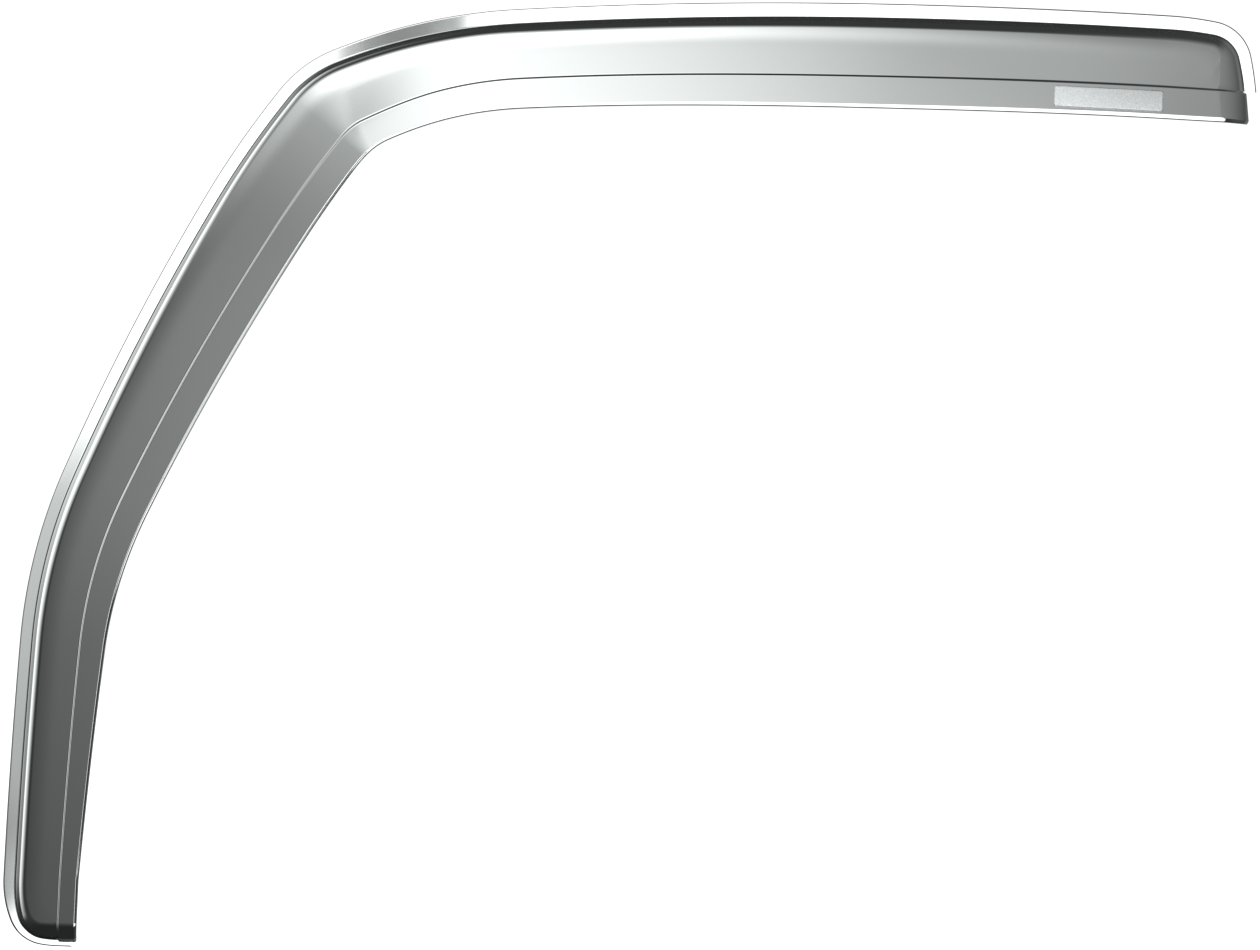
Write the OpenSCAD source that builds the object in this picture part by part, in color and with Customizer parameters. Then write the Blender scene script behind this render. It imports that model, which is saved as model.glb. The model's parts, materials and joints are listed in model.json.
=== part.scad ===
// Window rain deflector for the left front door of a truck or van.
// A moulded 3 mm sheet with a mirror chrome skin: a flat flange is taped to the door frame,
// a riser lifts the face clear of the glass, and a proud lip runs along the free edge.
// Frame: +X towards the rear of the door, +Z up, and the bright outer side faces -Y.
// The adhesive faces of the tape lie in the plane Y = 0.
// The origin is on the back of the top tape, in the middle of its length and width.
// Lengths are in millimetres and angles in degrees.

/* [Outline lengths] */
// Run of the flange below the lip, at the foot
foot_run_len = 11; // [8:0.5:16]
// Tight bend of the foot
foot_bend_len = 27.5; // [22:0.5:36]
// Wide bend from the foot into the leg
heel_len = 30; // [20:0.5:45]
// Lower leg, beside the mirror
leg_len = 159.5; // [110:0.5:210]
// Bend between the lower leg and the pillar
knee_len = 119; // [90:0.5:160]
// Stretch along the sloping windscreen pillar
pillar_len = 207.5; // [140:0.5:280]
// Top of the pillar, where the bend into the roof line begins
pillar_top_len = 85.5; // [60:0.5:120]
// Tightest part of the bend into the roof line
corner_len = 44; // [36:0.5:60]
// Easy bend that leads into the roof line
corner_out_len = 128; // [100:0.5:160]
// Front half of the roof line
rail_front_len = 230.5; // [160:0.5:300]
// Rear half of the roof line
rail_rear_len = 207; // [150:0.5:280]
// Start of the rear corner
rear_lead_len = 32; // [24:0.5:44]
// Tight bend of the rear corner
rear_bend_len = 35; // [32:0.5:44]
// Straight run down to the rear end of the flange
rear_run_len = 24.5; // [18:0.5:32]

/* [Outline turns] */
// Direction in which the outline leaves the foot, anticlockwise from +X
foot_heading = 178; // [174:1:182]
// Turn of the run at the foot
foot_run_turn = 8; // [4:0.5:12]
// Turn of the tight bend of the foot
foot_bend_turn = 59; // [54:0.5:64]
// Turn of the wide bend into the leg
heel_turn = 24; // [19:0.5:29]
// Turn of the lower leg
leg_turn = 2; // [0.5:0.5:6]
// Turn of the knee
knee_turn = 19; // [14:0.5:24]
// Turn of the pillar
pillar_turn = 7; // [3:0.5:11]
// Turn of the pillar's top
pillar_top_turn = 8; // [4:0.5:12]
// Turn of the tight bend into the roof line
corner_turn = 29; // [24:0.5:31]
// Turn of the easy bend into the roof line
corner_out_turn = 19; // [14:0.5:24]
// Turn of the front half of the roof line
rail_front_turn = 4; // [1:0.5:8]
// Turn of the rear half of the roof line
rail_rear_turn = 2.5; // [0.5:0.5:6]
// Turn at the start of the rear corner
rear_lead_turn = 8; // [4:0.5:12]
// Turn of the rear corner's tight bend
rear_bend_turn = 67; // [60:0.5:72]
// Turn of the run down to the rear end
rear_run_turn = 7; // [3:0.5:11]
// How far the rear end is cut past square to the outline, so that it meets the joggle
rear_skew = 9; // [4:0.5:12]

/* [Face widths, from the outer edge to the joggle] */
// Width at the heel
face_heel_w = 37.8; // [34:0.2:42]
// Width where the lower leg meets the knee
face_leg_w = 40.4; // [36:0.2:46]
// Width where the knee meets the pillar
face_knee_w = 43.6; // [40:0.2:50]
// Width at the foot of the pillar's top
face_pillar_w = 51; // [46:0.2:54]
// Width where the tight bend into the roof line begins
face_corner_w = 52.2; // [48:0.2:55]
// Width where the tight bend ends
face_corner_end_w = 51; // [46:0.2:54]
// Width in the middle of the easy bend
face_corner_out_w = 47.2; // [44:0.2:53]
// Width at the front of the roof line
face_rail_front_w = 46.2; // [42:0.2:52]
// Width in the middle of the roof line
face_rail_mid_w = 48.4; // [43:0.2:54]
// Width at the rear of the roof line
face_rail_rear_w = 47.6; // [43:0.2:52]

/* [Lip widths, from the joggle to the free edge] */
// Width at the heel
lip_heel_w = 13.4; // [9:0.2:16]
// Width where the lower leg meets the knee
lip_leg_w = 18; // [14:0.2:21]
// Width where the knee meets the pillar
lip_knee_w = 21; // [17:0.2:24]
// Width at the foot of the pillar's top
lip_pillar_w = 21.8; // [18:0.2:24]
// Width at the front of the roof line
lip_rail_front_w = 21; // [17:0.2:24]
// Width in the middle of the roof line
lip_rail_mid_w = 22.2; // [17:0.2:26]
// Width at the rear of the roof line
lip_rail_rear_w = 22.4; // [17:0.2:26]

/* [Section] */
// Thickness of the moulded sheet
sheet_t = 3; // [2:0.1:3.6]
// Width of the flange along the roof line
flange_w = 9.8; // [9:0.1:12]
// Width of the flange along the leg and the pillar
leg_flange_w = 8.7; // [8.4:0.1:12]
// Width of the flange at the rear end
rear_flange_w = 8.7; // [8.4:0.1:12]
// Width of the flange below the lip, at the foot
foot_flange_w = 5; // [4:0.1:8]
// How far the flange reaches on under the lip, at the foot
foot_flange_lap = 10.5; // [6:0.5:12]
// Radius on the flange's outer edge
flange_edge_r = 0.8; // [0.4:0.1:1.5]
// Height of the shoulder's sharp corner above the flange's back
shoulder_h = 9.8; // [8:0.2:14]
// How far the riser leans inwards from the flange to that corner
riser_lean = 4.4; // [3.6:0.1:6]
// Lean of the riser across the rear end
rear_riser_lean = 5.6; // [4.6:0.1:7]
// Hollow radius between the flange and the riser
riser_foot_r = 1.5; // [0.8:0.1:2.5]
// Radius of the shoulder along the leg and the roof line
shoulder_r = 9; // [6:0.5:11]
// Radius of the shoulder across the foot
foot_shoulder_r = 10; // [8:0.5:12]
// Radius of the shoulder across the rear end
rear_shoulder_r = 17; // [12:0.5:20]
// Rise of the face and of the lip towards the glass opening, in degrees
face_slope = 12; // [8:0.5:15]

/* [Joggle and free edge] */
// How far the lip stands proud of the face
joggle_h = 2.4; // [1:0.1:2.8]
// Width over which the joggle rises
joggle_w = 1.4; // [1:0.1:3]
// Width of the bevel on the free edge, on the leg
edge_bevel_w = 1.3; // [0.6:0.1:2]
// Width of the bevel on the free edge, at the rear
rear_bevel_w = 2.3; // [1.6:0.1:4]
// Drop of the bevel over its width, in degrees
edge_bevel_slope = 32; // [20:1:40]

/* [Mounting tape] */
// Thickness of the foam tape
tape_t = 1.1; // [0.8:0.1:2]
// Width of the foam tape
tape_w = 6.6; // [5:0.1:7]
// Distance of the tape from the flange's outer edge
tape_inset = 0.8; // [0.4:0.1:1]
// Gap between two lengths of tape
tape_gap = 8; // [4:1:20]
// Bare flange before and after each tight bend
tape_end_gap = 8; // [4:1:20]

/* [Badge] */
// Length of the badge plate along the lip
badge_l = 73; // [50:1:90]
// Height of the badge plate
badge_h = 14.2; // [10:0.2:15]
// Thickness of the badge plate
badge_t = 1.2; // [0.8:0.1:2]
// Corner radius of the badge plate
badge_corner_r = 1.6; // [0.8:0.1:3]
// Width of the bevel round the badge plate
badge_bevel = 0.7; // [0.4:0.1:0.8]
// Distance from the rear end of the roof line to the middle of the badge
badge_from_rear = 38; // [37:1:90]
// How far the badge sits below the middle of the lip
badge_drop = 0.5; // [0:0.1:1]
// Thickness of the adhesive pad behind the badge
badge_pad_t = 0.4; // [0.2:0.1:0.8]
// Inset of the pad from the badge's rim
badge_pad_inset = 1; // [0.5:0.1:2]
// Clearance between the pad and the curved lip
badge_clearance = 0.1; // [0.08:0.01:0.2]

/* [Hidden] */

// Longest step between two stations of the loft, and its largest turn
station_run = 26;
station_turn = 6;
// Facets across the hollow fillet, the shoulder and the joggle
hollow_steps = 3;
shoulder_steps = 7;
joggle_steps = 4;
// Longest step between two points of the tape's outline
tape_run = 14;
// Facets of a round corner, and the thin slice that a bevel starts from
corner_fn = 32;
slice_t = 0.01;

lengths = [
    foot_run_len, foot_bend_len, heel_len, leg_len, knee_len, pillar_len, pillar_top_len,
    corner_len, corner_out_len, rail_front_len, rail_rear_len, rear_lead_len, rear_bend_len,
    rear_run_len
];
turns = [
    foot_run_turn, foot_bend_turn, heel_turn, leg_turn, knee_turn, pillar_turn, pillar_top_turn,
    corner_turn, corner_out_turn, rail_front_turn, rail_rear_turn, rear_lead_turn, rear_bend_turn,
    rear_run_turn
];
LAST_PIECE = len(lengths) - 1;

function total(list, count, i = 0) = i >= count ? 0 : list[i] + total(list, count, i + 1);
function mix(a, b, share) = a * (1 - share) + b * share;
function clamp01(value) = min(1, max(0, value));
function ease(share) = share * share * (3 - 2 * share);
function unit(v) = v / norm(v);

// Distances along the outer edge at which the stretches of the outline meet
joints = [for (k = [0:LAST_PIECE + 1]) total(lengths, k)];
outline_len = joints[LAST_PIECE + 1];
foot_bend_s = joints[1];
heel_s = joints[3];
leg_s = joints[4];
knee_s = joints[5];
pillar_s = joints[6];
corner_s = joints[7];
corner_end_s = joints[8];
rail_s = joints[9];
rail_mid_s = joints[10];
rail_end_s = joints[11];
rear_bend_s = joints[12];

// The outline is a chain of arcs, each given by its length and its clockwise turn
function arc_chord(run, turn) = turn == 0 ? run : run * 360 / (PI * turn) * sin(turn / 2);
function ahead(heading) = [cos(heading), sin(heading)];
function inward(heading) = [sin(heading), -cos(heading)];
function arc_end(place, heading, run, turn) =
    [place + arc_chord(run, turn) * ahead(heading - turn / 2), heading - turn];
function piece_start(k) = k == 0
    ? [[0, 0], foot_heading]
    : let (before = piece_start(k - 1))
      arc_end(before[0], before[1], lengths[k - 1], turns[k - 1]);
piece_starts = [for (k = [0:LAST_PIECE]) piece_start(k)];
function piece_at(s, k = 0) = k == LAST_PIECE || s < joints[k + 1] ? k : piece_at(s, k + 1);
function outline_at(s) =
    let (k = piece_at(s), run = s - joints[k])
    arc_end(piece_starts[k][0], piece_starts[k][1], run, turns[k] * run / lengths[k]);

// Middle of the top tape, which is the origin
tape_top_s = [corner_end_s + tape_end_gap, rail_end_s];
tape_mid = outline_at((tape_top_s[0] + tape_top_s[1]) / 2);
origin_shift = tape_mid[0] + (tape_inset + tape_w / 2) * inward(tape_mid[1]);

function heading_at(s) = outline_at(s)[1];
// Direction of the section at a place, square to the outline apart from the rear end
function inward_at(s) = inward(
    heading_at(s) - rear_skew * ease(clamp01((s - rear_bend_s) / (outline_len - rear_bend_s)))
);
// Point in the door plane, at a distance inwards from the outer edge
function plan(s, inset) = outline_at(s)[0] + inset * inward_at(s) - origin_shift;
// Point in space from a point in the door plane and a height above the flange's back
function space(flat, height) = [flat.x, -tape_t - height, flat.y];
function space_dir(flat, height) = [flat.x, -height, flat.y];

// Widths run through their named values as one smooth curve, as [place, width]
face_widths = [
    [heel_s, face_heel_w], [leg_s, face_leg_w], [knee_s, face_knee_w], [pillar_s, face_pillar_w],
    [corner_s, face_corner_w], [corner_end_s, face_corner_end_w],
    [(corner_end_s + rail_s) / 2, face_corner_out_w], [rail_s, face_rail_front_w],
    [rail_mid_s, face_rail_mid_w], [rail_end_s, face_rail_rear_w]
];
lip_widths = [
    [heel_s, lip_heel_w], [leg_s, lip_leg_w], [knee_s, lip_knee_w], [pillar_s, lip_pillar_w],
    [rail_s, lip_rail_front_w], [rail_mid_s, lip_rail_mid_w], [rail_end_s, lip_rail_rear_w]
];
function width_span(list, s, k = 0) =
    k == len(list) - 2 || s < list[k + 1][0] ? k : width_span(list, s, k + 1);
function width_slope(list, k) =
    let (span = list[min(len(list) - 1, k + 1)] - list[max(0, k - 1)])
    span[1] / span[0];
function width_at(list, s) =
    let (
        k = width_span(list, s),
        span = list[k + 1][0] - list[k][0],
        u = clamp01((s - list[k][0]) / span)
    )
    mix(list[k][1], list[k + 1][1], ease(u))
    + span * u * (1 - u) * ((1 - u) * width_slope(list, k) - u * width_slope(list, k + 1));
function face_w(s) = width_at(face_widths, s);
function lip_w(s) = width_at(lip_widths, s);

// Share of the way from the leg to the foot's end, and from the roof line to the rear end
function foot_share(s) = clamp01((heel_s - s) / heel_s);
function rear_share(s) = clamp01((s - rail_end_s) / (outline_len - rail_end_s));
function flange_at(s) =
    s < heel_s
    ? mix(leg_flange_w, foot_flange_w, ease(clamp01((heel_s - s) / (heel_s - foot_bend_s))))
    : s < rail_end_s
    ? mix(leg_flange_w, flange_w, ease(clamp01((s - corner_s) / (rail_s - corner_s))))
    : mix(flange_w, rear_flange_w, ease(rear_share(s)));
function lean_at(s) = mix(riser_lean, rear_riser_lean, ease(rear_share(s)));
function shoulder_r_at(s) =
    shoulder_r + (foot_shoulder_r - shoulder_r) * ease(foot_share(s))
    + (rear_shoulder_r - shoulder_r) * pow(rear_share(s), 2);
function bevel_at(s) =
    mix(edge_bevel_w, rear_bevel_w, clamp01((s - rail_s) / (rail_end_s - rail_s)));

// The face keeps one slope, square to the leg or the roof line, and runs flat out to both ends
function level_s(s) = min(rail_end_s, max(heel_s, s));
function face_height(s, flat) =
    let (base = level_s(s), base_inset = flange_at(base) + lean_at(base))
    shoulder_h + tan(face_slope) * (flat - plan(base, base_inset)) * inward_at(base);
function slope_at(s) =
    atan(tan(face_slope) * inward_at(s) * inward_at(level_s(s)));

// Outer skin from the flange's edge to the top of the shoulder, as [inset, height, slope]
function section(s) =
    let (
        flange = flange_at(s),
        crest = flange + lean_at(s),
        crest_h = face_height(s, plan(s, crest)),
        rise = atan2(crest_h - sheet_t, crest - flange),
        top = slope_at(s),
        radius = shoulder_r_at(s),
        hollow = [flange - riser_foot_r * tan(rise / 2), sheet_t + riser_foot_r],
        start = [crest, crest_h] - radius * tan((rise - top) / 2) * ahead(rise),
        centre = start + radius * inward(rise)
    )
    concat(
        [[0, sheet_t - flange_edge_r, 0], [flange_edge_r, sheet_t, 0]],
        [for (k = [0:hollow_steps])
            let (a = rise * k / hollow_steps, p = hollow + riser_foot_r * inward(a)) [p.x, p.y, a]],
        [for (k = [0:shoulder_steps])
            let (a = mix(rise, top, k / shoulder_steps), p = centre - radius * inward(a)) [p.x, p.y, a]]
    );
RISER = hollow_steps + 2;
TOP = RISER + shoulder_steps + 1;

// Stations of the loft along the outer edge
function piece_steps(k) = ceil(max(lengths[k] / station_run, turns[k] / station_turn));
stations = concat(
    [for (k = [0:LAST_PIECE], j = [0:piece_steps(k) - 1]) joints[k] + lengths[k] * j / piece_steps(k)],
    [outline_len]
);
END = len(stations) - 1;
sections = [for (s = stations) section(s)];

// At both ends of the outline the lip runs on along it, past the end of the flange
function end_dir(i) = i == 0 ? -ahead(heading_at(0)) : ahead(heading_at(outline_len));
function flange_lap(i) = i == 0 ? foot_flange_lap : 0;
function strip_point(i, inset, height) =
    let (s = stations[i], lap = (i == 0 || i == END) && inset < flange_at(s))
    space(
        plan(s, inset) + (lap ? flange_lap(i) * (1 - inset / flange_at(s)) * end_dir(i) : [0, 0]),
        height
    );
function skin_point(i, j) = let (p = sections[i][j]) strip_point(i, p[0], p[1]);
function back_point(i, j) = let (p = sections[i][j])
    strip_point(i, p[0] + sheet_t * sin(p[2]), j == 0 ? 0 : p[1] - sheet_t * cos(p[2]));

// Foot of the joggle, which in the two end bends runs straight to the end's own shoulder
function joggle_plan(i) =
    let (s = stations[i], base = level_s(s), from = plan(base, face_w(base)))
    s == base ? from
    : mix(
        from,
        plan(s < base ? 0 : outline_len, sections[s < base ? 0 : END][TOP][0]),
        s < base ? foot_share(s) : rear_share(s)
    );

// Frames that carry the lip, as [foot of the joggle, direction to the free edge, outward, place]
function lip_frame(i) =
    let (
        s = stations[i],
        base = level_s(s),
        flat = joggle_plan(i),
        share = max(foot_share(s), rear_share(s)),
        out = unit(mix(inward_at(base), end_dir(s < base ? 0 : END), share)),
        across = space_dir(out, tan(face_slope))
    )
    [space(flat, face_height(s, flat)), across, unit(space_dir(-tan(face_slope) * out, 1)), base];
function end_frame(i, j) =
    let (
        slope = sections[i][j][2],
        out = end_dir(i),
        across = space_dir(out, tan(face_slope) * cos(slope)),
        lean = -sin(slope) * inward_at(stations[i]),
        raised = lean - tan(face_slope) * pow(cos(slope), 2) * out
    )
    [skin_point(i, j), across, unit(space_dir(raised, cos(slope))), level_s(stations[i])];
ENDS = TOP - RISER;
lip_frames = concat(
    [for (j = [RISER:TOP]) end_frame(0, j)],
    [for (i = [1:END - 1]) lip_frame(i)],
    [for (j = [TOP:-1:RISER]) end_frame(END, j)]
);
LIP_END = len(lip_frames) - 1;
function lip_point(frame, across, proud) = frame[0] + across * frame[1] + proud * frame[2];

// The joggle keeps the sheet's thickness, so its back lies further out than its skin
joggle_back = sheet_t * tan(atan2(joggle_h, joggle_w) / 2);
function lip_skin(frame) =
    let (w = lip_w(frame[3]), bevel = bevel_at(frame[3]))
    concat(
        [for (k = [1:joggle_steps])
            lip_point(frame, joggle_w * k / joggle_steps, joggle_h * ease(k / joggle_steps))],
        [
            lip_point(frame, w - bevel, joggle_h),
            lip_point(frame, w, joggle_h - bevel * tan(edge_bevel_slope))
        ]
    );
function lip_back(frame) =
    let (w = lip_w(frame[3]), bevel = bevel_at(frame[3]))
    concat(
        [for (k = [1:joggle_steps])
            lip_point(
                frame,
                joggle_back + joggle_w * k / joggle_steps,
                joggle_h * ease(k / joggle_steps) - sheet_t
            )],
        [
            lip_point(frame, w - bevel / 2, joggle_h - sheet_t),
            lip_point(frame, w, joggle_h - sheet_t)
        ]
    );
function lip_root(frame) = lip_point(frame, joggle_back, -sheet_t);
LIP = joggle_steps + 2;

// Numbering of the points, the same on the skin and on the back
STRIP = TOP + 1;
JOGGLE_START = (END + 1) * STRIP;
LIP_START = JOGGLE_START + END - 1;
SIDE = LIP_START + (LIP_END + 1) * LIP;
function at_strip(i, j) = i * STRIP + j;
function at_joggle(i) = i == 0 || i == END ? at_strip(i, TOP) : JOGGLE_START + i - 1;
function at_lip_root(m) =
    m <= ENDS ? at_strip(0, RISER + m)
    : m >= LIP_END - ENDS ? at_strip(END, RISER + LIP_END - m)
    : at_joggle(m - ENDS);
function at_lip(m, r) = r == 0 ? at_lip_root(m) : LIP_START + m * LIP + r - 1;

skin_points = concat(
    [for (i = [0:END], j = [0:TOP]) skin_point(i, j)],
    [for (i = [1:END - 1]) lip_frames[ENDS + i][0]],
    [for (frame = lip_frames, p = lip_skin(frame)) p]
);
back_points = concat(
    [for (i = [0:END], j = [0:TOP])
        j < RISER || (i > 0 && i < END) ? back_point(i, j)
        : lip_root(lip_frames[i == 0 ? j - RISER : LIP_END - (j - RISER)])],
    [for (i = [1:END - 1]) lip_root(lip_frames[ENDS + i])],
    [for (frame = lip_frames, p = lip_back(frame)) p]
);

function flipped(face) = [for (k = [len(face) - 1:-1:0]) face[k]];
function moved(face, by) = [for (k = face) k + by];
// Two triangles between neighbouring rows, or one where the rows share a point
function cell(a, b, c, d) = [
    if (a != b && b != c) [a, b, c],
    if (c != d && d != a && a != c) [a, c, d]
];
function mesh_rows(rows) = [
    for (i = [0:len(rows) - 2], j = [0:len(rows[i]) - 2])
        each cell(rows[i][j], rows[i][j + 1], rows[i + 1][j + 1], rows[i + 1][j])
];
skin_faces = concat(
    mesh_rows([for (i = [0:END]) concat([for (j = [0:TOP]) at_strip(i, j)], [at_joggle(i)])]),
    mesh_rows([for (m = [0:LIP_END]) [for (r = [0:LIP]) at_lip(m, r)]])
);
// Rim of the sheet, once round: flange, rear end, free edge and foot
rim = concat(
    [for (j = [RISER:-1:1]) at_strip(0, j)],
    [for (i = [0:END]) at_strip(i, 0)],
    [for (j = [1:RISER]) at_strip(END, j)],
    [for (r = [1:LIP]) at_lip(LIP_END, r)],
    [for (m = [LIP_END - 1:-1:0]) at_lip(m, LIP)],
    [for (r = [LIP - 1:-1:1]) at_lip(0, r)]
);
rim_faces = [
    for (k = [0:len(rim) - 1])
        let (a = rim[k], b = rim[(k + 1) % len(rim)])
        each cell(b, a, a + SIDE, b + SIDE)
];

// The moulded sheet, in one piece
module visor() {
    color("silver")
        polyhedron(
            points = concat(skin_points, back_points),
            faces = concat(
                [for (face = skin_faces) flipped(face)],
                [for (face = skin_faces) moved(face, SIDE)],
                rim_faces
            )
        );
}

// Frame on the lip at which the badge sits, near the middle between joggle and bevel
badge_s = rail_end_s - badge_from_rear;
badge_inset = face_w(badge_s) + (joggle_w + lip_w(badge_s) - bevel_at(badge_s)) / 2 + badge_drop;
badge_flat = plan(badge_s, badge_inset);
badge_face_h = face_height(badge_s, badge_flat) + joggle_h / cos(face_slope);
module on_lip(proud) {
    outward = space_dir(-sin(face_slope) * inward_at(badge_s), cos(face_slope));
    translate(space(badge_flat, badge_face_h) + proud * outward)
        rotate([0, -heading_at(badge_s), 0])
            rotate([90 - face_slope, 0, 0])
                children();
}
module rounded_plate(length, height, radius) {
    for (x = [-1, 1], y = [-1, 1])
        translate([x * (length / 2 - radius), y * (height / 2 - radius)])
            circle(r = radius, $fn = corner_fn);
    square([length, height - 2 * radius], center = true);
    square([length - 2 * radius, height], center = true);
}

// Blank nameplate with a bevelled rim
module badge() {
    color("gainsboro")
        on_lip(badge_clearance + badge_pad_t) {
            linear_extrude(badge_t - badge_bevel)
                rounded_plate(badge_l, badge_h, badge_corner_r);
            translate([0, 0, badge_t - badge_bevel])
                hull() {
                    linear_extrude(slice_t)
                        rounded_plate(badge_l, badge_h, badge_corner_r);
                    linear_extrude(badge_bevel)
                        rounded_plate(
                            badge_l - 2 * badge_bevel,
                            badge_h - 2 * badge_bevel,
                            badge_corner_r - badge_bevel
                        );
                }
        }
}

// Adhesive pad that bonds the badge to the lip
module badge_pad() {
    color("dimgray")
        on_lip(badge_clearance)
            linear_extrude(badge_pad_t)
                rounded_plate(
                    badge_l - 2 * badge_pad_inset,
                    badge_h - 2 * badge_pad_inset,
                    badge_corner_r
                );
}

// A length of foam tape on the flange's flat back, between two places on the outline
module tape(from, to) {
    steps = ceil((to - from) / tape_run);
    color("dimgray")
        rotate([90, 0, 0])
            linear_extrude(tape_t)
                polygon(concat(
                    [for (k = [0:steps]) plan(mix(from, to, k / steps), tape_inset)],
                    [for (k = [steps:-1:0]) plan(mix(from, to, k / steps), tape_inset + tape_w)]
                ));
}
module tape_leg() tape(heel_s + tape_end_gap, knee_s - tape_gap / 2);
module tape_pillar() tape(knee_s + tape_gap / 2, corner_s - tape_end_gap);
module tape_top() tape(tape_top_s[0], tape_top_s[1]);

visor();
badge();
badge_pad();
tape_leg();
tape_pillar();
tape_top();
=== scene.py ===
"""Looks of a chrome window rain deflector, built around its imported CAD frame.

The moulded visor is lofted again as a fine mesh, because mirror chrome shows every facet, and the badge is
modelled with a rounded rim. The pad and the foam tapes keep their CAD meshes. All lengths are in metres, in
the part's own frame: +X to the rear of the door, +Z up, and the bright side faces -Y.
"""

import json
import logging
import math
from dataclasses import dataclass, field
from enum import Enum
from typing import Callable, Sequence, TypeVar

import bpy
import numpy as np
from mathutils import Matrix, Vector

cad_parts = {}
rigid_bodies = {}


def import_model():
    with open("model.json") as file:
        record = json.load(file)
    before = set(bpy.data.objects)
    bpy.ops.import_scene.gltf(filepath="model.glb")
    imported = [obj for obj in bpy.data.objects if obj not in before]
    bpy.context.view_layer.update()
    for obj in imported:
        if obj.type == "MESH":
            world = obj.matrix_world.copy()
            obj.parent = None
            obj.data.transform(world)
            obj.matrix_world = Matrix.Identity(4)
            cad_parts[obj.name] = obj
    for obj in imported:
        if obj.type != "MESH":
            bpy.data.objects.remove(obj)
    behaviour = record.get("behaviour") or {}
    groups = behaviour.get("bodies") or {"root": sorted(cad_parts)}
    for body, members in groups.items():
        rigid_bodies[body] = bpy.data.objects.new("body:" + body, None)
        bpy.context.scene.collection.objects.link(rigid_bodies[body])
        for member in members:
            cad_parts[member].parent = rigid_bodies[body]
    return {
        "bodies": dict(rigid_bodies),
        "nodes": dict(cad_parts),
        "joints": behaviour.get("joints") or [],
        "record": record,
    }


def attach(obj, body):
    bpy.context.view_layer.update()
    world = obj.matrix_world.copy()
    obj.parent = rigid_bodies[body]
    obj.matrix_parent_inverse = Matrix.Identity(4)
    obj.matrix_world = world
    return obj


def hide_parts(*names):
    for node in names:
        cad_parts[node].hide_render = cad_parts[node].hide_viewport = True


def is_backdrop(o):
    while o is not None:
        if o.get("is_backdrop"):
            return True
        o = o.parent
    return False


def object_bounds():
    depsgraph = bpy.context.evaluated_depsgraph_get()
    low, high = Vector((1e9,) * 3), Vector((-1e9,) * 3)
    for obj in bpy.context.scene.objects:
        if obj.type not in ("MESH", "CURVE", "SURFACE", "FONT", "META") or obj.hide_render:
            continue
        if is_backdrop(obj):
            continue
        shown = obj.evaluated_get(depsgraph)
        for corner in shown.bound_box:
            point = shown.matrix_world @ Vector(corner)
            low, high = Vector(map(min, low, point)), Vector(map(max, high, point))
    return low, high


LOG = logging.getLogger("rain_deflector")
MM = 0.001

Colour = tuple[float, float, float, float]
Rows = list[list[np.ndarray]]
SectionPoint = tuple[float, float, float]
Step = tuple[float, float]
Value = TypeVar("Value", float, np.ndarray)

WHITE: Colour = (1.0, 1.0, 1.0, 1.0)


class Stretch(Enum):
    """Stretches of the flange's outer edge, in order from the foot to the rear end."""

    FOOT_RUN = 0
    FOOT_BEND = 1
    HEEL = 2
    LEG = 3
    KNEE = 4
    PILLAR = 5
    PILLAR_TOP = 6
    CORNER = 7
    CORNER_OUT = 8
    RAIL_FRONT = 9
    RAIL_REAR = 10
    REAR_LEAD = 11
    REAR_BEND = 12
    REAR_RUN = 13


def mix(a: Value, b: Value, share: float) -> Value:
    """Returns the value at a share of the way from a to b."""
    return a * (1 - share) + b * share


def share_of(value: float, start: float, end: float) -> float:
    """Returns how far value lies from start to end, between 0 and 1."""
    return min(1.0, max(0.0, (value - start) / (end - start)))


def ease(share: float) -> float:
    """Returns a share that starts and ends gently."""
    return share * share * (3 - 2 * share)


def ahead(degrees: float) -> np.ndarray:
    """Returns the unit vector of a direction in the plane."""
    return np.array([math.cos(math.radians(degrees)), math.sin(math.radians(degrees))])


def inward_of(degrees: float) -> np.ndarray:
    """Returns the unit vector a quarter turn clockwise from a direction."""
    return np.array([math.sin(math.radians(degrees)), -math.cos(math.radians(degrees))])


def unit(vector: np.ndarray) -> np.ndarray:
    """Returns the vector at length 1."""
    return vector / np.linalg.norm(vector)


@dataclass(frozen=True)
class Arc:
    """A stretch of the outline.

    Attributes:
        length: length along the outer edge.
        turn: clockwise turn over that length, in degrees.
    """

    length: float
    turn: float

    def chord(self, run: float) -> float:
        """Returns the straight distance covered by the first part of the arc."""
        turn = math.radians(self.turn) * run / self.length
        return run if turn == 0 else run * 2 / turn * math.sin(turn / 2)


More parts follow.
